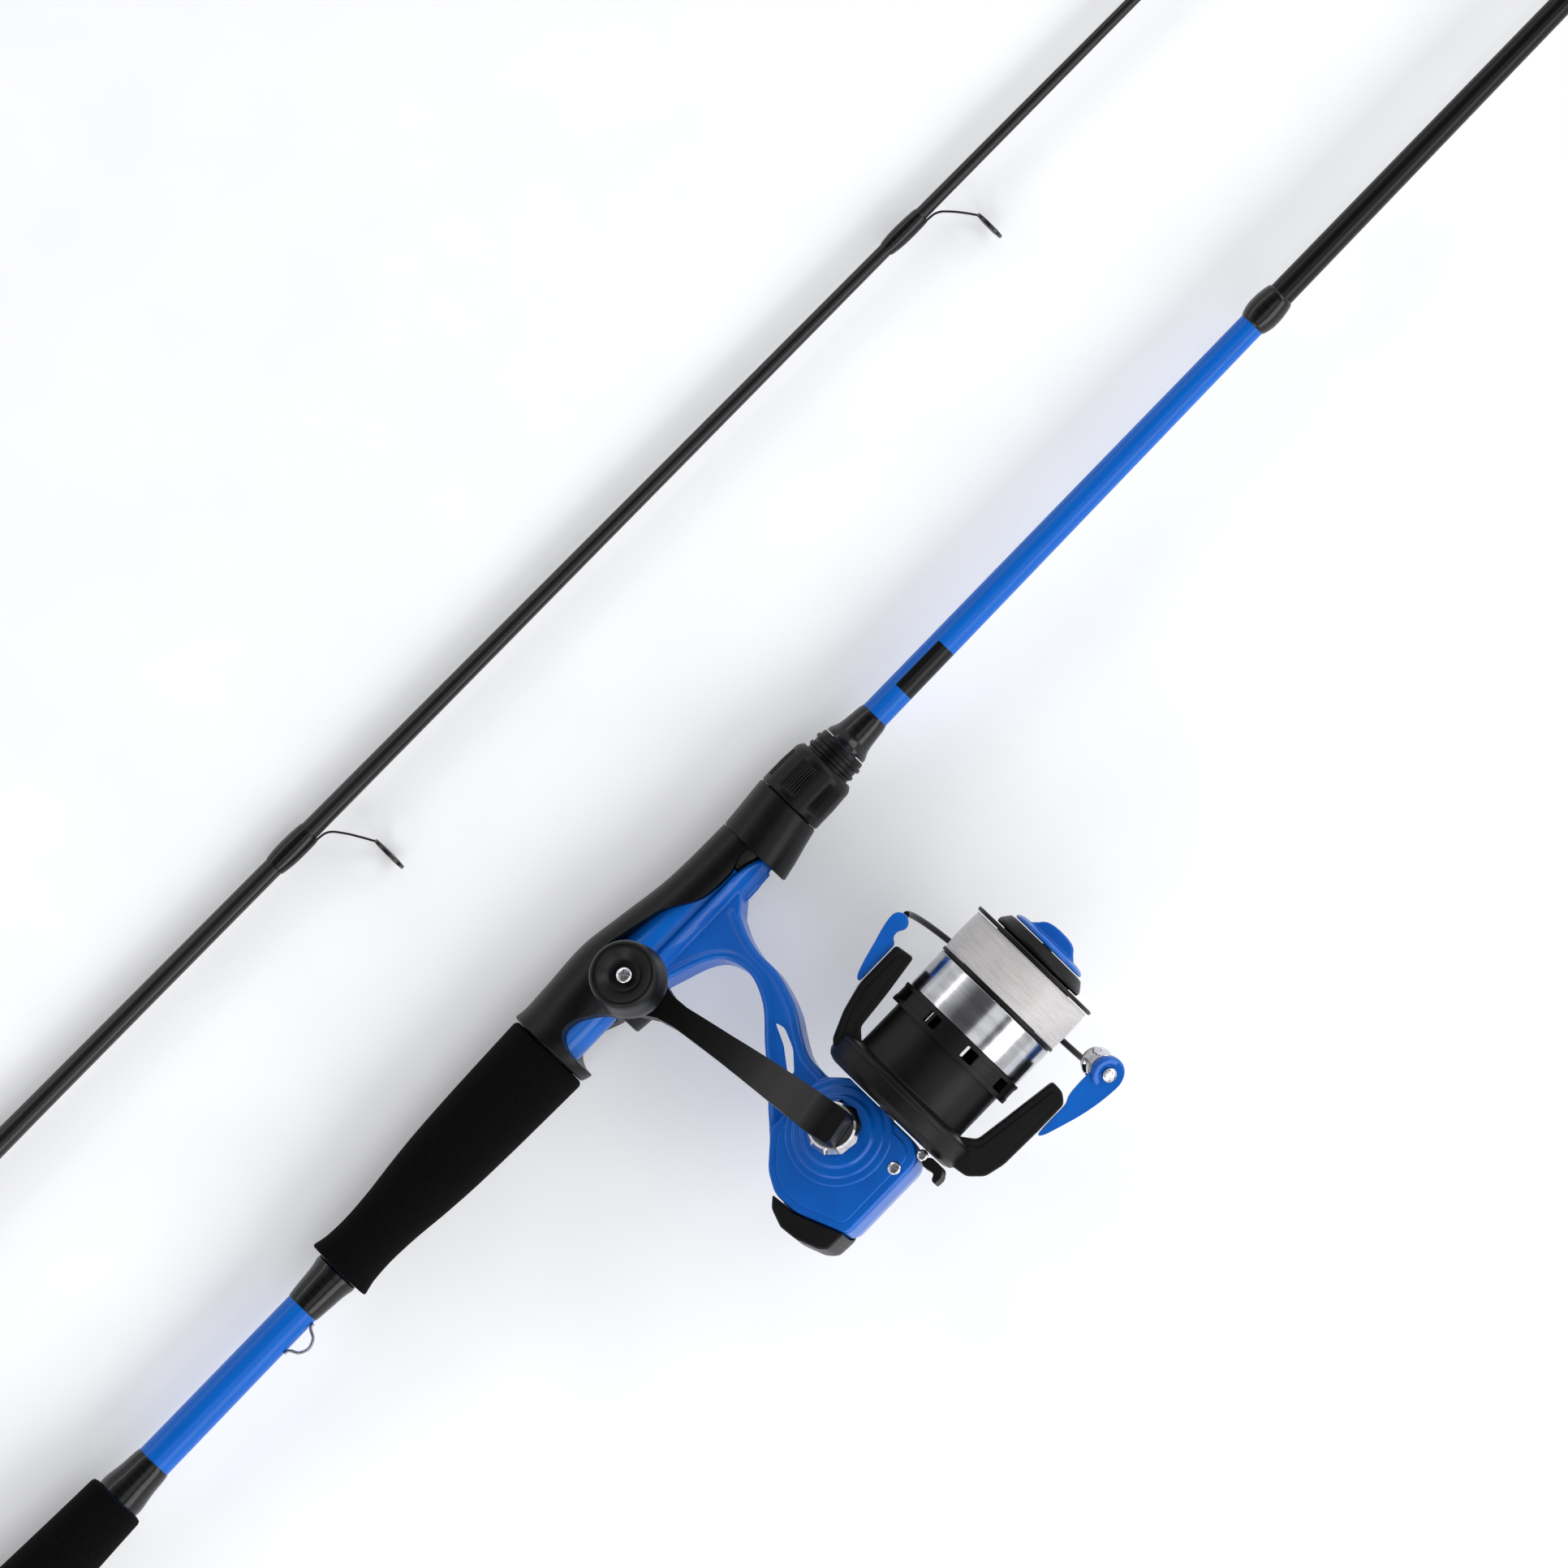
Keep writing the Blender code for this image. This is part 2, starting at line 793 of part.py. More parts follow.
def gearbox_outline(inset=0.0):
    """The gearbox seen from the crank side; inset moves every wall inwards."""
    front = 0.0130 - inset
    low = -0.0207 + inset
    return [
        (front, 0.0140 - inset),
        (front, -0.0160 + inset / 2),
        (0.0095 - inset / 2, low),
        (-0.0207 + inset / 2, low),
        (-0.0269 + inset, -0.0040),
        (-0.0272 + inset, 0.0050 - inset / 2),
        (-0.0235 + inset, 0.0118 - inset),
        (-0.0140 + inset / 2, 0.0205 - inset),
        (0.0085 - inset / 2, 0.0205 - inset),
    ]


def build_body(reel):
    depth = BODY_HIGH - BODY_LOW
    middle = (BODY_HIGH + BODY_LOW) / 2
    body = flat("reel_body", gearbox_outline(), depth, "reel_blue", reel, (0, 0, middle))
    bevelled(body, 0.0025, 3)
    cavity = flat(
        "gearbox space",
        gearbox_outline(BODY_WALL),
        depth,
        None,
        reel,
        (0, 0, middle + BODY_WALL),
    )
    joined(body, build_stem(reel), build_foot(reel))
    shaft_hole = rod("shaft hole", 0.0044, 0.012, reel, (0.0130, 0, 0), ALONG_X)
    far_hole = rod("far hole", DRIVE_RADIUS + 0.0008, 0.01, reel, (0, CRANK_OFFSET, BODY_LOW))
    cut(body, cavity, shaft_hole, far_hole)


def build_covers(reel):
    thick = COVER_TOP - BODY_HIGH - GAP
    middle = BODY_HIGH + GAP + thick / 2
    cover = flat("side_cover", gearbox_outline(), thick, "reel_blue", reel, (0, 0, middle))
    boss = turned(
        "cover boss",
        [(0.0130, 0.0110), (0.0120, 0.0118), (0.0120, 0.0150), (0.0110, 0.0160), (0.0090, 0.0170)],
        None,
        None,
        reel,
        (0.0, CRANK_OFFSET - 0.001, 0),
        (0, 0, 0),
    )
    hole = rod("bearing seat", 0.0053, 0.02, reel, (0, CRANK_OFFSET, 0.0130))
    rotor_room = box("rotor room", (0.01, 0.06, 0.04), reel, (0.0186, 0, 0.0100))
    cut(joined(cover, boss), hole, rotor_room)
    turned(
        "crank_bearing",
        [(0.0120, 0.0050), (0.0088, 0.0050)],
        DRIVE_RADIUS + RUNNING_FIT,
        "steel",
        reel,
        (0, CRANK_OFFSET, 0),
        (0, 0, 0),
        24,
    )
    turned(
        "cover_screw",
        [(0.0120, 0.0012), (0.0118, 0.0020), (COVER_TOP + GAP, 0.0022)],
        None,
        "chrome",
        reel,
        (0.0040, -0.0170, 0),
        (0, 0, 0),
        16,
    )


def build_rear_cover(reel):
    outline = [
        (-0.0212, -0.0204),
        (-0.0274, -0.0041),
        (-0.0277, 0.0052),
        (-0.0310, 0.0022),
        (-0.0332, -0.0040),
        (-0.0326, -0.0100),
        (-0.0300, -0.0175),
        (-0.0280, -0.0200),
    ]
    depth = COVER_TOP - BODY_LOW
    middle = (COVER_TOP + BODY_LOW) / 2
    cover = flat("rear_cover", outline, depth, "black_plastic", reel, (0, 0, middle))
    bevelled(cover, 0.0018, 2)


def build_anti_reverse(reel):
    pivot = empty("anti_reverse_pivot", reel, LEVER_PIVOT)
    outline = [
        (-0.0008, 0.0010),
        (0.0016, -0.0010),
        (0.0016, -0.0060),
        (-0.0008, -0.0078),
        (-0.0038, -0.0076),
        (-0.0036, -0.0060),
        (-0.0014, -0.0050),
        (-0.0024, -0.0008),
    ]
    flat("anti_reverse_lever", outline, 0.0050, "black_plastic", pivot, (0, -0.0015, 0.0035))


# Drive


def toothed(name, radius, teeth, height, depth, finish, parent, location, rotation=(0, 0, 0)):
    """A flat gear with square teeth, four outline points to each."""
    ring = []
    for i in range(teeth * 4):
        tip = i % 4 in (0, 1)
        turn = 2 * math.pi * (i - 0.5) / (teeth * 4)
        reach = radius if tip else radius - height
        ring.append((reach * math.cos(turn), reach * math.sin(turn)))
    return flat(name, ring, depth, finish, parent, location, rotation)


def build_drive(reel):
    crank = empty("crank_pivot", reel, (0, CRANK_OFFSET, 0), (0, 0, CRANK_LEAN))
    gear = toothed(
        "drive_gear", GEAR_RADIUS, GEAR_TEETH, 0.0009, 0.0022, "brass", crank, (0, 0, 0.0050)
    )
    length = SHAFT_HIGH - SHAFT_LOW
    shaft = rod("drive shaft", DRIVE_RADIUS, length, crank, (0, 0, (SHAFT_HIGH + SHAFT_LOW) / 2))
    joined(gear, shaft)
    turned(
        "crank_collar",
        [(0.0168, 0.0070), (0.0162, 0.0082), (0.0138, 0.0084), (0.0134, 0.0078)],
        DRIVE_RADIUS + GAP,
        "chrome",
        crank,
        rotation=(0, 0, 0),
        steps=24,
    )
    turned(
        "shaft_cap",
        [(-0.0150, 0.0075), (-0.0170, 0.0075), (-0.0190, 0.0060)],
        None,
        "black_plastic",
        crank,
        rotation=(0, 0, 0),
        steps=24,
    )
    build_crank_arm(crank)
    build_knob(crank)


def build_crank_arm(crank):
    """The tapered arm: its plan, kept where the bent side profile is."""
    hub = arc((0, 0), 0.0064, 190, 350, 9)
    end = arc((0, CRANK_LENGTH), 0.0072, -20, 200, 11)
    sides = [(0.0056, 0.0120), (0.0036, CRANK_LENGTH - 0.0115)]
    back = [(-x, y) for x, y in reversed(sides)]
    plan = hub + sides + end + back
    arm = flat("crank_arm", plan, 0.0800, "black_plastic", crank, (0, 0, 0.0400))
    tip = CRANK_LENGTH + 0.0100
    profile = [
        (-0.0080, 0.0172),
        (0.0060, 0.0172),
        (0.0105, 0.0235),
        (0.0150, 0.0380),
        (0.0420, 0.0462),
        (tip, 0.0476),
        (tip, 0.0532),
        (0.0400, 0.0525),
        (0.0110, 0.0440),
        (0.0040, 0.0270),
        (-0.0080, 0.0250),
    ]
    upright = (math.pi / 2, 0, math.pi / 2)
    side = flat("arm profile", profile, 0.0300, None, crank, (0, 0, 0), upright)
    boolean(arm, side, "INTERSECT")


def build_knob(crank):
    pivot = empty("knob_pivot", crank, (0, CRANK_LENGTH, 0))
    base = KNOB_BASE
    turned(
        "knob_spindle",
        [(base + 0.0195, SPINDLE_RADIUS), (base - 0.0004, SPINDLE_RADIUS)],
        None,
        "steel",
        pivot,
        rotation=(0, 0, 0),
        steps=16,
    )
    turned(
        "knob",
        [
            (base + 0.0225, 0.0086),
            (base + 0.0235, 0.0110),
            (base + 0.0215, 0.0125),
            (base + 0.0170, 0.0124),
            (base + 0.0080, 0.0096),
            (base + 0.0010, 0.0080),
            (base + 0.0003, 0.0072),
        ],
        [
            (base + 0.0200, 0.0062),
            (base + 0.0200, SPINDLE_RADIUS + RUNNING_FIT),
            (base + 0.0003, SPINDLE_RADIUS + RUNNING_FIT),
        ],
        "black_plastic",
        pivot,
        rotation=(0, 0, 0),
    )
    turned(
        "knob_screw",
        [(base + 0.0222, 0.0016), (base + 0.0218, 0.0026), (base + 0.0203, 0.0028)],
        None,
        "chrome",
        pivot,
        rotation=(0, 0, 0),
        steps=20,
    )


def build_oscillation(reel):
    pivot = empty("oscillation_pivot", reel, (OSCILLATION_STATION, 0.0050, 0))
    gear = toothed(
        "oscillation_gear",
        OSCILLATION_RADIUS,
        OSCILLATION_TEETH,
        0.0008,
        0.0018,
        "black_plastic",
        pivot,
        (0, 0, -0.0090),
    )
    pin = rod("crosswind pin", 0.0012, 0.0030, pivot, (0.0050, 0, -0.0070))
    joined(gear, pin)


def build_shaft(reel):
    carriage = empty("carriage", reel)
    turned(
        "main_shaft",
        [(0.0885, SHAFT_RADIUS), (-0.0125, SHAFT_RADIUS)],
        None,
        "steel",
        carriage,
        steps=16,
    )
    at = (BLOCK_STATION, 0.0030, -0.0020)
    block = box("crosswind_block", (0.0060, 0.0120, 0.0060), carriage, at, finish="brass")
    middle = (BLOCK_STATION, 0, 0)
    hole = rod("block bore", SHAFT_RADIUS + SKIN, 0.02, carriage, middle, ALONG_X, steps=16)
    cut(block, hole)
    return carriage


# Rotor and bail


def build_rotor(reel):
    rotor = empty("rotor_pivot", reel, rotation=(ROLL, 0, 0))
    rear = ROTOR_REAR
    cup = turned(
        "rotor",
        [
            (DRUM_FRONT, DRUM_RADIUS),
            (0.0245, DRUM_RADIUS),
            (0.0240, 0.0255),
            (0.0215, 0.0274),
            (0.0175, 0.0268),
            (rear, 0.0230),
        ],
        [
            (DRUM_FRONT, DRUM_RADIUS - 0.0012),
            (rear + 0.0040, DRUM_RADIUS - 0.0012),
            (rear + 0.0040, 0.0080),
            (rear + 0.0100, 0.0080),
            (rear + 0.0100, ROTOR_BORE),
            (rear, ROTOR_BORE),
        ],
        "black_plastic",
        rotor,
    )
    frame = [
        (0.0150, 0.0150),
        (0.0165, 0.0240),
        (0.0192, 0.0278),
        (0.0280, 0.0315),
        (0.0370, 0.0338),
        (0.0535, 0.0338),
        (0.0545, 0.0273),
        (0.0400, 0.0254),
        (0.0280, 0.0243),
        (0.0245, 0.0205),
        (0.0245, 0.0150),
    ]
    other = [
        (0.0245, -0.0150),
        (0.0245, -0.0205),
        (0.0280, -0.0243),
        (0.0400, -0.0254),
        (0.0568, -0.0285),
        (0.0565, -0.0335),
        (0.0540, -0.0370),
        (0.0418, -0.0370),
        (0.0280, -0.0366),
        (0.0215, -0.0350),
        (0.0174, -0.0308),
        (0.0150, -0.0150),
    ]
    arms = []
    for name, outline in (("left rotor arm", frame), ("right rotor arm", other)):
        arm = flat(name, outline, ARM_HALF_WIDTH * 2, None, rotor)
        arms.append(bevelled(arm, 0.0014, 2))
    joined(cup, *arms)
    inside = turned(
        "drum space",
        [(0.0600, DRUM_RADIUS - 0.0012), (rear + 0.0040, DRUM_RADIUS - 0.0012)],
        0.0080,
        None,
        rotor,
    )
    cut(cup, inside)
    build_pinion(rotor)
    return rotor


def build_pinion(rotor):
    at = (0.0076, 0, 0)
    teeth = toothed(
        "pinion", PINION_RADIUS, PINION_TEETH, 0.0008, 0.0085, "brass", rotor, at, ALONG_X
    )
    tube = turned("pinion tube", [(0.0240, 0.0032), (0.0100, 0.0032)], None, None, rotor, steps=20)
    bore = rod("pinion bore", SHAFT_RADIUS + RUNNING_FIT, 0.06, rotor, (0.0150, 0, 0), ALONG_X, steps=16)
    cut(joined(teeth, tube), bore)


def along_roller(distance):
    """A point on the line roller's axis, at a distance from the bail arm's end."""
    x, y, z = ARM_END
    return (x, y + distance * math.sin(ROLLER_TILT), z - distance * math.cos(ROLLER_TILT))


def on_roller(distance):
    """The same point, from the bail's own pivot."""
    x, y, z = along_roller(distance)
    return (x - BAIL_STATION, y, z)


def bail_path():
    """The wire's centre line, from the lever's tip, under the spool, to the line roller's bracket."""
    points = []
    count = 17
    for i in range(count):
        turn = math.pi * (0.02 + 0.93 * i / (count - 1))
        x = 0.0622 + 0.0040 * math.sin(turn) + 0.0058 * (i / (count - 1)) ** 3
        y = 0.0010 + 0.0372 * math.cos(turn)
        z = -BAIL_DEPTH * math.sin(turn) ** 0.85
        points.append((x, y, z))
    return [*points, along_roller(0.0125)]


def build_bail(rotor):
    bail = empty("bail_pivot", rotor, (BAIL_STATION, 0, 0))
    back = (-BAIL_STATION, 0, 0)
    tilted = (ROLLER_TILT, 0, 0)
    lever = flat(
        "bail_lever",
        [
            (0.0380, 0.0342),
            (0.0500, 0.0342),
            (0.0565, 0.0350),
            (0.0600, 0.0352),
            (0.0612, 0.0380),
            (0.0606, 0.0412),
            (0.0590, 0.0412),
            (0.0493, 0.0388),
            (0.0380, 0.0360),
        ],
        0.0090,
        "reel_blue",
        bail,
        back,
    )
    bevelled(lever, 0.0006, 2)
    arm = flat(
        "bail_arm",
        [
            (0.0420, -0.0374),
            (0.0550, -0.0374),
            (0.0578, -0.0345),
            (0.0592, -0.0368),
            (0.0630, -0.0372),
            (0.0700, -0.0390),
            (0.0720, -0.0410),
            (0.0700, -0.0446),
            (0.0560, -0.0433),
            (0.0480, -0.0408),
            (0.0420, -0.0388),
        ],
        0.0080,
        "reel_blue",
        bail,
        back,
    )
    end = turned(
        "bail arm end",
        [(0.0016, 0.0046), (0.0008, 0.0055), (-0.0016, 0.0055)],
        0.0009,
        None,
        bail,
        on_roller(0.0),
        tilted,
        24,
    )
    under = rod("roller room", 0.0068, 0.012, bail, on_roller(0.0078), tilted)
    hole = rod("screw hole", 0.0017, 0.02, bail, on_roller(0.0), tilted, steps=13)
    cut(joined(arm, end), hole, under)
    build_bail_wire(bail, back)
    build_line_roller(bail)


def build_bail_wire(bail, back):
    path = wire("bail_wire", bail_path(), WIRE_RADIUS, "black_metal", bail, back)
    bracket = turned(
        "roller bracket",
        [(0.0010, 0.0046), (-0.0020, 0.0030)],
        None,
        None,
        bail,
        on_roller(0.0115),
        (ROLLER_TILT, 0, 0),
        20,
    )
    joined(path, bracket)


def build_line_roller(bail):
    middle = on_roller(0.0060)
    pivot = empty("roller_pivot", bail, middle, (ROLLER_TILT, 0, 0))
    turned(
        "line_roller",
        [
            (0.0036, ROLLER_RADIUS),
            (0.0022, ROLLER_RADIUS),
            (0.0, 0.0042),
            (-0.0022, ROLLER_RADIUS),
            (-0.0036, ROLLER_RADIUS),
        ],
        ROLLER_SHAFT + RUNNING_FIT,
        "chrome",
        pivot,
        rotation=(0, 0, 0),
        steps=24,
    )
    turned(
        "roller_screw",
        [
            (0.0088, 0.0018),
            (0.0084, 0.0026),
            (0.0079, 0.0026),
            (0.0079, ROLLER_SHAFT),
            (-0.0040, ROLLER_SHAFT),
        ],
        None,
        "chrome",
        bail,
        middle,
        (ROLLER_TILT, 0, 0),
        20,
    )


# Spool


def build_spool(carriage):
    spool = empty("spool_pivot", carriage, rotation=(ROLL, 0, 0))
    bore = SHAFT_RADIUS + RUNNING_FIT
    inner = DRUM_RADIUS + 0.0004
    body = turned(
        "spool",
        [
            (LIP_FRONT, LIP_RADIUS - 0.0004),
            (LIP_FRONT - 0.0004, LIP_RADIUS),
            (LIP_REAR, LIP_RADIUS - 0.0002),
            (LIP_REAR, ARBOR_RADIUS),
            (BAND_FRONT + 0.0012, ARBOR_RADIUS),
            (BAND_FRONT + 0.0012, LINE_RADIUS),
            (BAND_FRONT, LINE_RADIUS),
            (BAND_FRONT, inner + 0.0006),
            (SKIRT_FRONT, inner + 0.0006),
            (SKIRT_FRONT, SKIRT_RADIUS),
            (SPOOL_REAR, SKIRT_RADIUS),
        ],
        [
            (LIP_FRONT, 0.0140),
            (0.0740, 0.0140),
            (0.0740, bore),
            (0.0590, bore),
            (0.0590, 0.0195),
            (0.0565, inner),
            (SPOOL_REAR, inner),
        ],
        "black_plastic",
        spool,
        steps=36,
    )
    windows = []
    for i in range(WINDOWS):
        turn = math.radians(WINDOW_PHASE + 360 * i / WINDOWS)
        where = (0.0447, -0.0226 * math.sin(turn), 0.0226 * math.cos(turn))
        size = (0.0045, 0.0050, 0.0040)
        windows.append(box(f"skirt window {i}", size, spool, where, (turn, 0, 0)))
    cut(body, *windows)
    turned(
        "spool_band",
        [(BAND_FRONT - GAP, 0.0226), (SKIRT_FRONT + GAP, 0.0226)],
        inner + 0.0006 + 0.0001,
        "chrome",
        spool,
        steps=36,
    )
    turned(
        "line_winding",
        [
            (LIP_REAR - GAP, LINE_RADIUS - 0.0004),
            (LIP_REAR - 0.0060, LINE_RADIUS),
            (BAND_FRONT + 0.0050, LINE_RADIUS),
            (BAND_FRONT + 0.0015, LINE_RADIUS - 0.0004),
        ],
        ARBOR_RADIUS + GAP,
        "nylon_line",
        spool,
        steps=36,
    )
    turned("drag_washer", [(0.0752, 0.0120), (0.0743, 0.0120)], bore, "steel", spool, steps=24)


def build_drag_knob(carriage):
    knob = empty("drag_knob_pivot", carriage, rotation=(ROLL, 0, 0))
    turned(
        "drag_knob",
        [
            (0.0850, 0.0140),
            (0.0845, 0.0160),
            (0.0822, 0.0169),
            (LIP_FRONT + GAP, 0.0165),
            (LIP_FRONT + GAP, 0.0136),
            (0.0758, 0.0136),
        ],
        SHAFT_RADIUS + RUNNING_FIT,
        "black_plastic",
        knob,
    )
    base = turned(
        "drag_grip",
        [(0.0868, 0.0118), (0.0862, 0.0134), (0.0853, 0.0136)],
        None,
        "reel_blue",
        knob,
    )
    bar = flat(
        "drag bar",
        [
            (0.0858, -0.0085),
            (0.0858, 0.0085),
            (0.0890, 0.0070),
            (0.0912, 0.0045),
            (0.0916, 0.0),
            (0.0912, -0.0045),
            (0.0890, -0.0070),
        ],
        0.0150,
        None,
        knob,
    )
    room = rod("shaft room", SHAFT_RADIUS + 0.0002, 0.0070, knob, (0.0855, 0, 0), ALONG_X, steps=16)
    cut(joined(base, bevelled(bar, 0.0012, 2)), room)


def build():
    whole = empty("whole", location=ORIGIN)
    butt = empty("butt_section", whole, (0, 0, AXIS_HEIGHT), (-ROLL, 0, 0))
    build_handle(butt)
    build_butt_blank(butt)
    build_butt_windings(butt)
    build_hook_keeper(butt)
    build_stripper(butt)
    build_seat(butt)
    build_hood_and_nut(butt)
    tip = empty("tip_section", whole, (TIP_BASE_STATION, TIP_SPACING, TIP_HEIGHT), (0, 0, TIP_SKEW))
    build_tip_blank(tip)
    build_tip_guides(tip)
    build_tip_top(tip)
    reel = empty("reel", butt, (REEL_STATION, -REEL_DROP, 0))
    build_body(reel)
    build_covers(reel)
    build_rear_cover(reel)
    build_anti_reverse(reel)
    build_drive(reel)
    build_oscillation(reel)
    carriage = build_shaft(reel)
    rotor = build_rotor(reel)
    build_bail(rotor)
    build_spool(carriage)
    build_drag_knob(carriage)


build()
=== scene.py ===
"""The looks of a two-piece spinning rod and its reel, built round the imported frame.

Local sizes are in millimetres. The rod's frame has X along the rod from the butt end, Y away from
the reel and Z out of the crank's side. The spin frame has X along the spool's axis and Z up.
"""

import math

import bmesh
import bpy
import numpy as np
from mathutils import Matrix, Vector
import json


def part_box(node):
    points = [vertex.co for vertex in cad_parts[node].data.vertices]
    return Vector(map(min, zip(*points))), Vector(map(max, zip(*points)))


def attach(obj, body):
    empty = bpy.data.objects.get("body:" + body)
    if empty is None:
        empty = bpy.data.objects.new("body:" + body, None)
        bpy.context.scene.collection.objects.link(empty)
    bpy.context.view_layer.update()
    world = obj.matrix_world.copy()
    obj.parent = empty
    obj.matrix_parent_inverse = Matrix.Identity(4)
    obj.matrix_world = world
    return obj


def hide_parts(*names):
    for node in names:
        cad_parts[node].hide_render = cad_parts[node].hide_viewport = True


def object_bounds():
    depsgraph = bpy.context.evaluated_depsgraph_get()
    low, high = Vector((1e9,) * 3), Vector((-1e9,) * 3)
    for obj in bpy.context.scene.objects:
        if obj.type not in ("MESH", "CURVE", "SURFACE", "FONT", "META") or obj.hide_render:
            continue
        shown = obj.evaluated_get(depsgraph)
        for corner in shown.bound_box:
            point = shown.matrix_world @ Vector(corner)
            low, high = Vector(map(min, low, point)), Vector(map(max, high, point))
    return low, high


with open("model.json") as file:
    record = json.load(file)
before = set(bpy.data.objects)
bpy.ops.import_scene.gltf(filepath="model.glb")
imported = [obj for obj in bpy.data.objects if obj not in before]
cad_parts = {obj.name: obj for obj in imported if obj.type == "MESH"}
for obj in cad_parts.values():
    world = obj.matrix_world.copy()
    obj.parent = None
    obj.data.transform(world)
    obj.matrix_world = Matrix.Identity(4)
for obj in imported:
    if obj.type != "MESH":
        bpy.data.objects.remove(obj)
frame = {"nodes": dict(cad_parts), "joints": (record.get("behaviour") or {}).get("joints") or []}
CAD_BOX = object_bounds()
MM = 0.001
JOINTS = {joint["name"]: joint for joint in frame["joints"]}


def middle(node):
    low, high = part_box(node)
    return (low + high) / 2


def rolled(place, angle, axis):
    return place @ Matrix.Rotation(angle, 4, axis)


# Frames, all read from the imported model
UP = -Vector(JOINTS["crank_turn"]["axis"])
ROLL = math.atan2(UP.y, UP.z)
ROD_AXIS = Vector(JOINTS["nut_turn"]["pos_m"])
BUTT_END = Vector((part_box("butt_cap")[0].x, ROD_AXIS.y, ROD_AXIS.z))
SPOOL_POINT = Vector(JOINTS["rotor_spin"]["pos_m"])
CRANK_POINT = Vector(JOINTS["crank_turn"]["pos_m"])
KNOB_POINT = Vector(JOINTS["knob_spin"]["pos_m"])
BAIL_POINT = Vector(JOINTS["bail_flip"]["pos_m"])
ROLLER_POINT = Vector(JOINTS["line_roller_spin"]["pos_m"])
ROLLER_AXIS = Vector(JOINTS["line_roller_spin"]["axis"])

BUTT = rolled(Matrix.Translation(BUTT_END), -ROLL, "X")
REEL = rolled(Matrix.Translation(SPOOL_POINT), -ROLL, "X")
SPIN = Matrix.Translation(SPOOL_POINT)
ARM = REEL.inverted() @ KNOB_POINT - REEL.inverted() @ CRANK_POINT
CRANK = rolled(rolled(Matrix.Translation(CRANK_POINT), -ROLL, "X"), math.atan2(-ARM.x, ARM.y), "Z")
CRANK_REACH = ARM.length / MM
TIP_NEAR = middle("ferrule_winding")
TIP_FAR = middle("guide_4_winding")
TIP_SKEW = math.atan2(TIP_FAR.y - TIP_NEAR.y, TIP_FAR.x - TIP_NEAR.x)
TIP_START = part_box("tip_blank")[0].x
TIP = rolled(Matrix.Translation((TIP_START, TIP_NEAR.y, TIP_NEAR.z)), TIP_SKEW, "Z")
ROLLER = rolled(Matrix.Translation(ROLLER_POINT), math.atan2(-ROLLER_AXIS.y, ROLLER_AXIS.z), "X")
ON_Z = Matrix.Rotation(-math.pi / 2, 4, "Y")  # stands a turned piece on its frame's Z axis

SEAT_AT = (SPOOL_POINT.x - BUTT_END.x) / MM  # the crank's station along the rod
REEL_HEIGHT = -(BUTT.inverted() @ SPOOL_POINT).y / MM
CRANK_DROP = (REEL.inverted() @ CRANK_POINT).y / MM


# Materials


def linear(code):
    """An sRGB hex colour as linear RGBA."""
    parts = [int(code[i:i + 2], 16) / 255 for i in (1, 3, 5)]
    rgb = [p / 12.92 if p <= 0.04045 else ((p + 0.055) / 1.055) ** 2.4 for p in parts]
    return (*rgb, 1.0)


def node(tree, kind, inputs=(), **settings):
    """Adds a node, sets its properties, and fills its inputs with values or nodes' outputs."""
    made = tree.nodes.new(kind)
    for key, value in settings.items():
        setattr(made, key, value)
    for key, value in dict(inputs).items():
        if isinstance(value, bpy.types.NodeSocket):
            tree.links.new(value, made.inputs[key])
        else:
            made.inputs[key].default_value = value
    return made


def surface(name, **sockets):
    """A new material, its tree and its Principled shader, with the given sockets set."""
    made = bpy.data.materials.new(name)
    made.use_nodes = True
    shader = made.node_tree.nodes["Principled BSDF"]
    for key, value in sockets.items():
        shader.inputs[key.replace("_", " ")].default_value = value
    return made, made.node_tree, shader


def texture(tree, kind, scale, detail=2.0, stretch=(1, 1, 1), **settings):
    """A texture in the piece's own metres, with its coordinates stretched per axis."""
    where = node(tree, "ShaderNodeTexCoord")
    mapped = node(tree, "ShaderNodeMapping", {"Vector": where.outputs["Object"], "Scale": stretch})
    inputs = {"Vector": mapped.outputs["Vector"], "Scale": scale}
    if kind in ("ShaderNodeTexNoise", "ShaderNodeTexWave"):
        inputs["Detail"] = detail
    return node(tree, kind, inputs, **settings)


def two_tones(tree, fac, dark, light, low=0.3, high=0.7):
    """A colour that runs from one tone to another as fac rises."""
    ramp = node(tree, "ShaderNodeValToRGB", {"Fac": fac})
    for element, at, tone in zip(ramp.color_ramp.elements, (low, high), (dark, light)):
        element.position = at
        element.color = tone
    return ramp.outputs["Color"]


def tinted(tree, shader, fac, dark, light, low=0.3, high=0.7):
    """Varies the base colour between two sRGB tones."""
    colour = two_tones(tree, fac, linear(dark), linear(light), low, high)
    tree.links.new(colour, shader.inputs["Base Color"])


def roughened(tree, shader, fac, low, high):
    spread = node(tree, "ShaderNodeMapRange", {"Value": fac, "To Min": low, "To Max": high})
    tree.links.new(spread.outputs["Result"], shader.inputs["Roughness"])


def bumped(tree, shader, height, depth_mm, strength=1.0):
    inputs = {"Height": height, "Distance": depth_mm * MM, "Strength": strength}
    bump = node(tree, "ShaderNodeBump", inputs)
    tree.links.new(bump.outputs["Normal"], shader.inputs["Normal"])


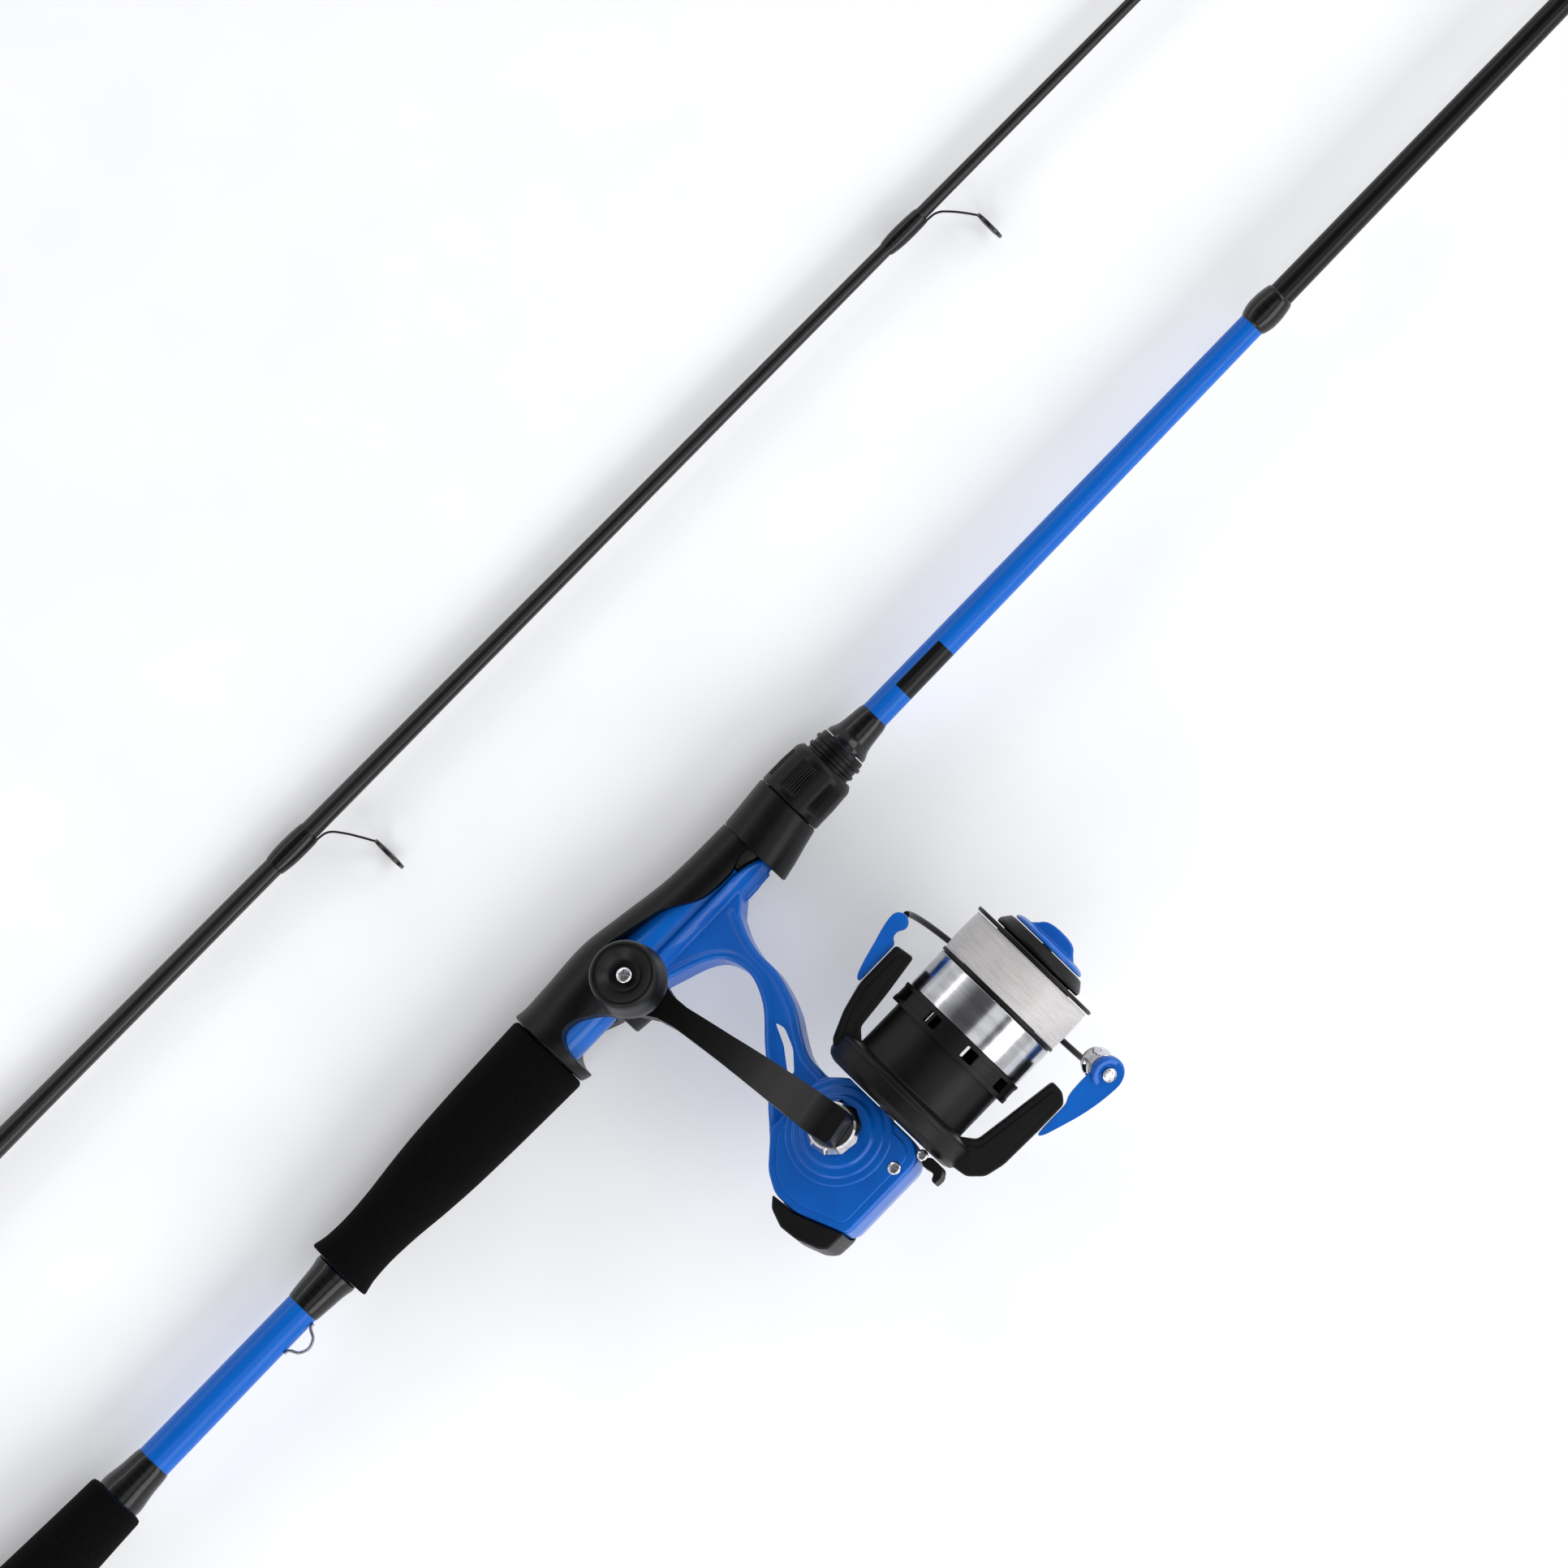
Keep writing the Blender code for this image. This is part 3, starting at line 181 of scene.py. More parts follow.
def eva_foam():
    """EVA foam, ground round on a lathe: black and dull, with open cells of about 0.5 mm."""
    made, tree, shader = surface("eva_foam_ground", Roughness=0.92, Specular_IOR_Level=0.1)
    cells = texture(tree, "ShaderNodeTexVoronoi", 1 / (0.55 * MM), feature="F1")
    cloud = texture(tree, "ShaderNodeTexNoise", 1 / (1.4 * MM), 4.0)
    tinted(tree, shader, cloud.outputs["Fac"], "#020202", "#060606")
    inputs = {0: cells.outputs["Distance"], 1: cloud.outputs["Fac"]}
    pits = node(tree, "ShaderNodeMath", inputs, operation="MULTIPLY")
    bumped(tree, shader, pits.outputs["Value"], 0.16, 0.8)
    return made


def moulded(name, dark, light, rough, grain_mm=0.35, depth=0.02):
    """Glass-filled nylon or ABS from a lightly sparked mould: satin, with a fine even grain."""
    made, tree, shader = surface(name, Specular_IOR_Level=0.22)
    cloud = texture(tree, "ShaderNodeTexNoise", 1 / (6 * MM), 3.0)
    grain = texture(tree, "ShaderNodeTexNoise", 1 / (grain_mm * MM), 2.0)
    tinted(tree, shader, cloud.outputs["Fac"], dark, light)
    roughened(tree, shader, cloud.outputs["Fac"], rough - 0.05, rough + 0.05)
    bumped(tree, shader, grain.outputs["Fac"], depth, 0.6)
    return made


def enamel(name, dark, light):
    """Blue enamel sprayed on moulded graphite resin: glossy, with a faint orange-peel ripple."""
    made, tree, shader = surface(
        name, Specular_IOR_Level=0.18, Coat_Weight=0.4, Coat_Roughness=0.05, Coat_IOR=1.45
    )
    cloud = texture(tree, "ShaderNodeTexNoise", 1 / (14 * MM), 2.0)
    peel = texture(tree, "ShaderNodeTexNoise", 1 / (1.1 * MM), 1.0)
    tinted(tree, shader, cloud.outputs["Fac"], dark, light)
    roughened(tree, shader, cloud.outputs["Fac"], 0.3, 0.38)
    bumped(tree, shader, peel.outputs["Fac"], 0.02, 0.4)
    return made


def butt_lacquer():
    """Clear-coated lacquer over wound carbon: blue behind the joint, satin black ahead of it."""
    made, tree, shader = surface(
        "blank_lacquer_blue_and_black", Specular_IOR_Level=0.16, Coat_Weight=0.2,
        Coat_Roughness=0.15, Coat_IOR=1.45
    )
    streaks = texture(tree, "ShaderNodeTexNoise", 1 / (2.5 * MM), 3.0, stretch=(0.05, 1, 1))
    where = node(tree, "ShaderNodeTexCoord")
    parts = node(tree, "ShaderNodeSeparateXYZ", {"Vector": where.outputs["Object"]}).outputs

    def sum_of(operation, *values):
        return node(tree, "ShaderNodeMath", dict(enumerate(values)),
            operation=operation).outputs["Value"]

    blue = two_tones(tree, streaks.outputs["Fac"], linear("#005AB8"), linear("#0066CA"))
    black = two_tones(tree, streaks.outputs["Fac"], linear("#060607"), linear("#0B0A0B"))
    ahead = sum_of("GREATER_THAN", parts["X"], COLOUR_CHANGE * MM)
    # the panel lies between two stations, on the side that faces up and towards the reel
    rear, front = (x * MM for x in PANEL_STATIONS)
    lengthwise = sum_of("COMPARE", parts["X"], (rear + front) / 2, (front - rear) / 2)
    facing = sum_of("MULTIPLY_ADD", parts["Y"], -PANEL_SLOPE, parts["Z"])
    panel = sum_of("MULTIPLY", lengthwise, sum_of("GREATER_THAN", facing, PANEL_EDGE * MM))
    # a colour mix takes its colours at its seventh and eighth inputs, and gives its third output
    inputs = {"Factor": sum_of("MAXIMUM", ahead, panel), 6: blue, 7: black}
    mixed = node(tree, "ShaderNodeMix", inputs, data_type="RGBA")
    tree.links.new(mixed.outputs[2], shader.inputs["Base Color"])
    roughened(tree, shader, streaks.outputs["Fac"], 0.3, 0.42)
    bumped(tree, shader, streaks.outputs["Fac"], 0.01, 0.5)
    return made


def tip_lacquer():
    """Satin black lacquer on a slim carbon blank, with the tape's faint spiral ridges under it."""
    made, tree, shader = surface("blank_lacquer_black", Specular_IOR_Level=0.35,
        Coat_Weight=0.2, Coat_Roughness=0.2)
    streaks = texture(tree, "ShaderNodeTexNoise", 1 / (2.0 * MM), 3.0, stretch=(0.05, 1, 1))
    ridges = texture(
        tree, "ShaderNodeTexWave", 1 / (20 * MM), 0.5, bands_direction="X", wave_profile="SIN"
    )
    tinted(tree, shader, streaks.outputs["Fac"], "#070708", "#100F10")
    roughened(tree, shader, streaks.outputs["Fac"], 0.3, 0.42)
    bumped(tree, shader, ridges.outputs["Fac"], 0.01, 0.4)
    return made


def lacquered_thread():
    """Black nylon thread wound on the blank and flooded with epoxy: dark ridges under a gloss."""
    made, tree, shader = surface(
        "thread_under_epoxy", Roughness=0.3, Specular_IOR_Level=0.2, Coat_Weight=0.4,
        Coat_Roughness=0.04, Coat_IOR=1.5
    )
    turns = texture(
        tree, "ShaderNodeTexWave", 1 / (8 * MM), 0.5, bands_direction="X", wave_profile="SIN"
    )
    tinted(tree, shader, turns.outputs["Fac"], "#030304", "#0A0A0D")
    bumped(tree, shader, turns.outputs["Fac"], 0.02, 0.3)
    return made


def metal(name, dark, light, low, high, scale_mm=1.0, stretch=(1, 1, 1), depth=0.004, **sockets):
    """A bare, plated or coated metal, with its polish or brushing in the roughness."""
    made, tree, shader = surface(name, **sockets)
    marks = texture(tree, "ShaderNodeTexNoise", 1 / (scale_mm * MM), 3.0, stretch=stretch)
    tinted(tree, shader, marks.outputs["Fac"], dark, light)
    roughened(tree, shader, marks.outputs["Fac"], low, high)
    bumped(tree, shader, marks.outputs["Fac"], depth, 0.4)
    return made


def wound_line():
    """Clear monofilament in tight crossing turns: milky white, with a silky sheen."""
    made, tree, shader = surface(
        "monofilament_wound", Specular_IOR_Level=0.55, Subsurface_Weight=0.15,
        Subsurface_Scale=0.002, Subsurface_Radius=(1.0, 1.0, 1.0)
    )
    # real turns lie 0.3 mm apart, and are drawn at 0.6 mm so that they show
    turns = texture(
        tree, "ShaderNodeTexWave", 1 / (12.0 * MM), 2.0, bands_direction="X", wave_profile="SIN"
    )
    turns.inputs["Distortion"].default_value = 1.5
    cloud = texture(tree, "ShaderNodeTexNoise", 1 / (2.5 * MM), 4.0, stretch=(3.0, 0.25, 0.25))
    tinted(tree, shader, cloud.outputs["Fac"], "#B9B5B4", "#CFCCCC", 0.2, 0.8)
    roughened(tree, shader, cloud.outputs["Fac"], 0.28, 0.42)
    bumped(tree, shader, turns.outputs["Fac"], 0.06, 0.6)
    return made


def grip_rubber():
    """Black rubber for the butt cap: dull and slightly dusty."""
    made, tree, shader = surface("butt_rubber", Specular_IOR_Level=0.3)
    dust = texture(tree, "ShaderNodeTexNoise", 1 / (3 * MM), 4.0)
    tinted(tree, shader, dust.outputs["Fac"], "#0B0B0B", "#181817")
    roughened(tree, shader, dust.outputs["Fac"], 0.7, 0.85)
    bumped(tree, shader, dust.outputs["Fac"], 0.03, 0.5)
    return made


COLOUR_CHANGE = middle("joint_winding").x / MM - BUTT_END.x / MM - 4.0
PANEL_STATIONS = (473.0, 492.0)  # a plain black panel printed on the blue blank
PANEL_EDGE = 4.1
PANEL_SLOPE = 1.235  # how far the panel is turned towards the reel

FOAM = eva_foam()
BLANK_BLUE = butt_lacquer()
BLANK_BLACK = tip_lacquer()
THREAD = lacquered_thread()
NYLON = moulded("glass_filled_nylon", "#050505", "#0A0A0A", 0.42)
NYLON_SMOOTH = moulded("nylon_fine_grain", "#050505", "#090909", 0.36, 0.25, 0.01)
BLUE = enamel("blue_enamel", "#0056B2", "#0062C4")
SLEEVE_BLUE = enamel("blue_lacquer_sleeve", "#0060C2", "#006ACE")
CHROME = metal("chrome_plate", "#C4C6CA", "#E2E3E6", 0.06, 0.12, Metallic=1.0)
BAND = metal(
    "polished_steel_band", "#A9AAAD", "#C9CACD", 0.13, 0.2, 3.0, (1, 0.2, 0.2), depth=0.0,
    Metallic=1.0,
)
STEEL = metal(
    "stainless_steel_turned", "#7E8084", "#A2A4A8", 0.22, 0.38, 0.6, (1, 0.1, 0.1), Metallic=1.0
)
BRASS = metal("brass_cut", "#9C7A38", "#BE9A56", 0.25, 0.4, 0.8, Metallic=1.0)
GUIDE_BLACK = metal("black_plated_steel", "#060607", "#0E0E10", 0.2, 0.3, 0.8,
    Specular_IOR_Level=0.6)
ANODISED = metal(
    "black_anodised_aluminium", "#060505", "#0B0A09", 0.38, 0.48, 0.8, (1, 0.2, 0.2),
    Specular_IOR_Level=0.22,
)
CERAMIC = metal("black_ceramic_ring", "#0A0A0C", "#151518", 0.05, 0.1, 0.5, Coat_Weight=1.0)
LINE = wound_line()
RUBBER = grip_rubber()


# Mesh tools


def grid(name, rows, loop=False):
    """A skin over rings of points in millimetres, capped at its ends or joined end to start."""
    rows = [np.asarray(row, float) for row in rows]
    count = len(rows[0])
    faces = []
    for i in range(len(rows) if loop else len(rows) - 1):
        near, far = i * count, (i + 1) % len(rows) * count
        for j in range(count):
            k = (j + 1) % count
            faces.append((near + j, near + k, far + k, far + j))
    if not loop:
        faces.append(tuple(range(count)))
        faces.append(tuple(range((len(rows) - 1) * count, len(rows) * count)))
    mesh = bpy.data.meshes.new(name)
    mesh.from_pydata((np.concatenate(rows) * MM).tolist(), [], faces)
    work = bmesh.new()
    work.from_mesh(mesh)
    bmesh.ops.remove_doubles(work, verts=work.verts, dist=1e-7)
    bmesh.ops.recalc_face_normals(work, faces=work.faces)
    work.to_mesh(mesh)
    work.free()
    return mesh


def softened(points, cut, steps=4, closed=False):
    """The outline with each corner rounded, no further than half of the shorter side there."""
    points = [Vector(p) for p in points]
    out = []
    for i, corner in enumerate(points):
        if not closed and i in (0, len(points) - 1):
            out.append(tuple(corner))
            continue
        before, after = points[i - 1] - corner, points[(i + 1) % len(points)] - corner
        reach = min(cut, before.length * 0.49, after.length * 0.49)
        start, end = corner + before.normalized() * reach, corner + after.normalized() * reach
        for j in range(steps + 1):
            t = j / steps
            out.append(tuple(start * (1 - t) ** 2 + corner * 2 * t * (1 - t) + end * t * t))
    return out


def smooth(points, steps=6, closed=False):
    """A smooth curve through every point."""
    points = [np.asarray(p, float) for p in points]
    count = len(points)
    out = []
    for i in range(count if closed else count - 1):
        if closed:
            a, b, c, d = (points[(i + k) % count] for k in (-1, 0, 1, 2))
        else:
            a, b, c = points[max(i - 1, 0)], points[i], points[i + 1]
            d = points[min(i + 2, count - 1)]
        for j in range(steps):
            t = j / steps
            out.append(
                0.5 * (2 * b + (c - a) * t + (2 * a - 5 * b + 4 * c - d) * t * t
                       + (3 * b - a - 3 * c + d) * t ** 3)
            )
    if not closed:
        out.append(points[-1])
    return [tuple(p) for p in out]


def arc(centre, radius, start, end, count):
    """Points on an arc, with the angles in degrees."""
    turns = np.radians(np.linspace(start, end, count))
    return [(centre[0] + radius * math.cos(t), centre[1] + radius * math.sin(t)) for t in turns]


def lathe(name, profile, steps=96, loop=False, shape=None):
    """A piece turned about X from (station, radius) points; shape may vary the radius by angle."""
    turns = np.linspace(0, 2 * math.pi, steps, endpoint=False)
    rows = []
    for station, radius in profile:
        radii = shape(station, turns, radius) if shape else np.full(steps, radius)
        rows.append(
            np.stack([np.full(steps, station), radii * np.cos(turns), radii * np.sin(turns)], 1)
        )
    return grid(name, rows, loop=loop)


def sleeve(name, outer, bore, steps=96, shape=None):
    """A turned piece with a plain bore."""
    profile = [*outer, (outer[-1][0], bore), (outer[0][0], bore)]

    def outside_only(station, turns, radius):
        return shape(station, turns, radius) if radius > bore else np.full(steps, radius)

    return lathe(name, profile, steps, loop=True, shape=outside_only if shape else None)


def sections(name, path, ring_at):
    """A skin along a path, with ring_at(share) giving each section as (across, up) points."""
    path = [Vector(p) for p in path]
    lengths = [0.0]
    for near, far in zip(path, path[1:]):
        lengths.append(lengths[-1] + (far - near).length)
    tangent = (path[1] - path[0]).normalized()
    up = Vector((0, 0, 1))
    if abs(tangent.dot(up)) > 0.9:
        up = Vector((1, 0, 0))
    rows = []
    for i, point in enumerate(path):
        near, far = path[max(i - 1, 0)], path[min(i + 1, len(path) - 1)]
        tangent = (far - near).normalized()
        up = (up - tangent * up.dot(tangent)).normalized()
        across = tangent.cross(up)
        ring = ring_at(lengths[i] / lengths[-1])
        rows.append([tuple(point + across * a + up * b) for a, b in ring])
    return grid(name, rows)


def tube(name, path, radius, sides=16):
    """A round wire; radius is a number or a function of the share of its length."""
    turns = np.linspace(0, 2 * math.pi, sides, endpoint=False)

    def ring(share):
        size = radius(share) if callable(radius) else radius
        return [(size * math.cos(t), size * math.sin(t)) for t in turns]

    return sections(name, path, ring)


def slab(name, outline, low, high):
    """A flat outline drawn in X and Y, as a solid between two heights."""
    work = bmesh.new()
    face = work.faces.new([work.verts.new((x * MM, y * MM, low * MM)) for x, y in outline])
    grown = bmesh.ops.extrude_face_region(work, geom=[face])["geom"]
    moved = [v for v in grown if isinstance(v, bmesh.types.BMVert)]
    bmesh.ops.translate(work, verts=moved, vec=(0, 0, (high - low) * MM))
    bmesh.ops.recalc_face_normals(work, faces=work.faces)
    mesh = bpy.data.meshes.new(name)
    work.to_mesh(mesh)
    work.free()
    return mesh


def loose(mesh):
    """A working object that is not kept."""
    made = bpy.data.objects.new(mesh.name, mesh)
    bpy.context.scene.collection.objects.link(made)
    return made


def baked(obj):
    """The object's mesh with its modifiers applied, in its place, and the object removed."""
    bpy.context.view_layer.update()
    graph = bpy.context.evaluated_depsgraph_get()
    mesh = bpy.data.meshes.new_from_object(obj.evaluated_get(graph))
    mesh.transform(obj.matrix_world)
    bpy.data.objects.remove(obj)
    return mesh


def rounded(mesh, width_mm, segments, angle):
    """The mesh with its sharp edges rounded over."""
    obj = loose(mesh)
    made = obj.modifiers.new("bevel", "BEVEL")
    made.width = width_mm * MM
    made.segments = segments
    made.limit_method = "ANGLE"
    made.angle_limit = math.radians(angle)
    return baked(obj)


def boolean(mesh, others, operation="DIFFERENCE"):
    """The mesh joined with or cut by the others."""
    obj = loose(mesh)
    helpers = [loose(other) for other in others]
    for helper in helpers:
        made = obj.modifiers.new(operation, "BOOLEAN")
        made.operation = operation
        made.solver = "EXACT"
        made.object = helper
    result = baked(obj)
    for helper in helpers:
        bpy.data.objects.remove(helper)
    return result


def placed(mesh, *places):
    for place in places:
        mesh.transform(place)
    return mesh


def cast(name, meshes, voxel_mm, passes=6, cutters=()):
    """Meshes melted into one skin with soft inner corners, as a moulding has."""
    work = bmesh.new()
    for mesh in meshes:
        work.from_mesh(mesh)
    mesh = bpy.data.meshes.new(name)
    work.to_mesh(mesh)
    work.free()
    obj = loose(mesh)
    remesh = obj.modifiers.new("melt", "REMESH")
    remesh.mode = "VOXEL"
    remesh.voxel_size = voxel_mm * MM
    ease = obj.modifiers.new("ease", "SMOOTH")
    ease.factor = 0.5
    ease.iterations = passes
    mesh = baked(obj)
    mesh = boolean(mesh, cutters) if cutters else mesh
    mesh.name = name
    return mesh


def screw_head(name, radius, height):
    """A domed screw head on X with a cross recess."""
    dome = [(0, radius), *[(height * math.sin(a), radius * math.cos(a) ** 0.6)
                           for a in np.linspace(0.2, 1.35, 7)]]
    head = lathe(name, [(-0.6, radius * 0.9), *dome], 48)
    slots = []
    for turn in (0.4, 0.4 + math.pi / 2):
        outline = [(height * 0.35, -radius * 0.6), (height * 2, -radius * 0.75),
                   (height * 2, radius * 0.75), (height * 0.35, radius * 0.6)]
        slot = slab("slot", outline, -radius * 0.13, radius * 0.13)
        slots.append(placed(slot, Matrix.Rotation(turn, 4, "X")))
    return boolean(head, slots)


def piece(name, mesh, body, material, place, nodes=(), angle=35):
    """Puts a finished mesh in the scene as part of a body, standing for the CAD nodes named."""
    mesh.name = name
    mesh.materials.clear()
    mesh.materials.append(material)
    mesh.polygons.foreach_set("use_smooth", [True] * len(mesh.polygons))
    mesh.set_sharp_from_angle(angle=math.radians(angle))
    made = bpy.data.objects.new(name, mesh)
    bpy.context.scene.collection.objects.link(made)
    made.matrix_world = place
    weighted = made.modifiers.new("even shading", "WEIGHTED_NORMAL")
    weighted.keep_sharp = True
    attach(made, body)
    if nodes:
        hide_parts(*nodes)
    return made


# Butt section

UPRIGHT = Matrix(((0, 0, 1, 0), (1, 0, 0, 0), (0, 1, 0, 0), (0, 0, 0, 1)))  # drawn X, Y become Y, Z
BLANK_LENGTH = 990.0
BLANK_REAR, BLANK_FRONT = 6.3, 2.95
FIT = 0.12


def blank_radius(station):
    return BLANK_REAR + (BLANK_FRONT - BLANK_REAR) * station / BLANK_LENGTH


def tip_radius(station):
    """Thick over the socket, then a fast and a slow taper."""
    stations = (0.0, 60.0, 189.0, 534.0, 1030.0)
    return float(np.interp(station, stations, (4.0, 3.4, 3.1, 1.8, 0.8)))


def wrapped(name, profile, radius_at, body, place, node_name, foot=False):
    """Thread under epoxy, thin at both ends, with a ridge where it runs over a guide's foot."""
    outline = smooth(profile, 5)
    bore = min(radius_at(profile[0][0]), radius_at(profile[-1][0])) - 0.1

    def ridge(station, turns, radius):
        away = np.abs(turns % (2 * math.pi) - math.pi)
        share = (station - profile[0][0]) / (profile[-1][0] - profile[0][0])
        return radius + 0.7 * (0.15 + 0.85 * share) * np.exp(-(away / 0.5) ** 2)

    mesh = sleeve(name, outline, bore, 64, ridge if foot else None)
    return piece(name, mesh, body, THREAD, place, (node_name,), 50)


def feathered(start, end, bulge, radius_at, edge=0.12):
    """A winding's outline, thin at both ends and swollen between."""
    return [
        (start, radius_at(start) + edge),
        (start + 1.2, radius_at(start) + edge + bulge * 0.45),
        (start + (end - start) * 0.3, radius_at(start) + edge + bulge * 0.95),
        (start + (end - start) * 0.6, radius_at(end) + edge + bulge),
        (end - 1.2, radius_at(end) + edge + bulge * 0.5),
        (end, radius_at(end) + edge),
    ]


def build_butt():
    cap = [(0, 11.0), (0.5, 13.2), (2.4, 14.6), (5.0, 15.0), (9.0, 14.9), (12.0, 14.8)]
    piece("butt_cap_rubber", lathe("cap", smooth(cap, 5)), "butt_section", RUBBER, BUTT,
          ("butt_cap",))
    rear = smooth([(13.4, 14.8), (30.0, 14.4), (60.0, 12.8), (105.0, 10.7), (124.8, 9.9)], 10)
    rear = [(12.3, 13.6), (12.5, 14.4), *rear, (125.7, 9.5), (126.0, 8.6)]
    rear_grip = sleeve("rear_grip_foam", rear, blank_radius(126) + FIT, 128)
    piece("rear_grip_foam", rear_grip, "butt_section", FOAM, BUTT,
            ("rear_grip",))
    fore = smooth(
        [
            (224.9, 11.0), (227.0, 10.5), (230.0, 10.0), (237.5, 9.7), (248.0, 10.3), (259.0, 11.5),
            (271.0, 12.5), (285.0, 13.15), (300.0, 13.6), (316.2, 14.0),
        ],
        8,
    )
    fore = [(224.0, 9.6), (224.05, 10.5), (224.3, 10.95), *fore, (317.1, 13.6), (317.5, 12.9)]
    fore_grip = sleeve("fore_grip_foam", fore, blank_radius(224) + FIT, 128)
    piece("fore_grip_foam", fore_grip, "butt_section", FOAM, BUTT,
            ("fore_grip",))
    outer = [(5.0 + 985.0 * i / 50, blank_radius(5.0 + 985.0 * i / 50)) for i in range(51)]
    outer[-1] = (989.7, outer[-1][1])
    bore = [(x, r - 1.2) for x, r in reversed(outer)]
    rim = [(990.0, outer[-1][1] - 0.3), (990.0, bore[0][1] + 0.2)]
    blank = lathe("butt_blank_lacquered", [*outer, *rim, *bore], 64, loop=True)
    piece("butt_blank_lacquered", blank, "butt_section", BLANK_BLUE, BUTT,
          ("butt_blank",))
    r = blank_radius
    collar = [(126.3, 7.55), (127.6, 7.7), (130.0, 7.5), (134.5, r(134) + 0.95), (139.0,
        r(139) + 0.6),
              (141.2, r(141) + 0.35), (142.0, r(142) + 0.12)]
    wrapped("rear_winding_thread", collar, r, "butt_section", BUTT, "rear_winding")
    collar = [(208.0, r(208) + 0.12), (209.0, r(209) + 0.35), (213.0, r(213) + 0.75),
              (219.0, r(219) + 1.3), (222.4, 7.5), (223.7, 7.3)]
    wrapped("fore_winding_thread", collar, r, "butt_section", BUTT, "fore_winding")
    front = SEAT_AT + 86.5
    collar = [(front, 7.5), (front + 1.2, 7.5), (front + 4.0, r(front) + 1.5),
              (front + 8.0, r(front) + 0.9), (front + 11.5, r(front) + 0.5),
              (front + 13.2, r(front + 13) + 0.12)]
    wrapped("seat_winding_thread", collar, r, "butt_section", BUTT, "seat_winding")
    wrapped("joint_winding_thread", feathered(629.0, 642.0, 1.25, r), r, "butt_section", BUTT,
            "joint_winding")


def wire_ring(name, radius, half, depth, place):
    """A guide's frame ring: a strip rounded on both faces, turned about X."""
    section = softened(
        [(-half, radius - depth), (-half, radius), (half, radius), (half, radius - depth)],
        half * 0.8, 3, closed=True,
    )
    return placed(lathe(name, section, 64, loop=True), place)


def strip(name, path, width, thick):
    """A flat springy leg swept along a path in the X, Y plane."""
    half, up = width / 2, thick / 2
    section = softened([(-up, -half), (up, -half), (up, half), (-up, half)], up * 0.9, 2,
        closed=True)
    return sections(name, path, lambda share: section)


def build_keeper():
    """A bent wire loop lying on the blank towards the reel, its ends under a turn of thread."""
    at = (BUTT.inverted() @ middle("hook_keeper")).x / MM
    low = blank_radius(at) + 0.45
    ring = [(-6.5, -low), (-5.2, -low - 0.2), (-4.3, -low - 1.2), (-3.0, -low - 3.4), (0.0,
        -low - 4.6),
            (3.0, -low - 3.4), (4.3, -low - 1.2), (5.2, -low - 0.2), (6.5, -low)]
    path = smooth([(at + x, y, 0) for x, y in ring], 8)
    piece("hook_keeper_wire", tube("keeper", path, 0.5), "butt_section", STEEL, BUTT,
          ("hook_keeper",))


def build_stripper():
    """The large guide of the butt section, standing on a foot each way."""
    at = (BUTT.inverted() @ middle("stripper_ring")).x / MM
    reach, radius = 25.0, 14.0
    centre = Matrix.Translation((at * MM, -reach * MM, 0))
    parts = [wire_ring("ring", radius, 0.8, 1.6, centre)]
    low = -blank_radius(at) - 0.9
    for end in (-1, 1):
        for side in (-1, 1):
            path = smooth(
                [
                    (at + end * 15.5, low, 0), (at + end * 11.5, low, side * 0.4),
                    (at + end * 8.0, low - 0.8, side * 1.4), (at + end * 4.5, low - 4.6,
                        side * 3.6),
                    (at + end * 0.6, -reach + radius - 1.6, side * 5.4),
                ],
                6,
            )
            parts.append(tube("leg", path, 0.62, 10))
    frame_mesh = boolean(parts[0], parts[1:], "UNION")
    piece("stripper_frame_wire", frame_mesh, "butt_section", GUIDE_BLACK, BUTT,
          ("stripper_frame",), 50)
    lining = softened([(-1.2, 11.0), (-1.0, 12.1), (1.0, 12.1), (1.2, 11.0), (0.8, 10.8), (-0.8,
        10.8)],
                      0.4, 3, closed=True)
    piece("stripper_ring_ceramic", placed(lathe("lining", lining, 96, loop=True), centre),
          "butt_section", CERAMIC, BUTT, ("stripper_ring",), 50)
    for side, name in ((-1, "rear"), (1, "front")):
        near, far = at + side * 22.5 - 6.5, at + side * 22.5 + 6.5
        profile = feathered(near, far, 0.75, blank_radius)
        wrapped(f"stripper_winding_{name}_thread", profile, blank_radius, "butt_section", BUTT,
                f"stripper_winding_{name}")


# Tip section


def build_tip():
    stations = [i * 1030.0 / 60 for i in range(61)]
    stations[-1] = 1025.8
    outer = [(0.0, 3.35), (0.25, 3.9), *[(x, tip_radius(x)) for x in stations[1:]]]
    blank = lathe("tip_blank_lacquered", outer, 64)
    bore = placed(lathe("socket", [(-5.0, 3.1), (50.0, 3.1)], 64))
    blank = boolean(blank, [bore])
    piece("tip_blank_lacquered", blank, "tip_section", BLANK_BLACK, TIP,
          ("tip_blank",), 50)
    wrapped("ferrule_winding_thread", feathered(1.0, 16.0, 0.5, tip_radius), tip_radius,
            "tip_section", TIP, "ferrule_winding")
    for number in range(1, 5):
        build_guide(number)
    build_tip_top()


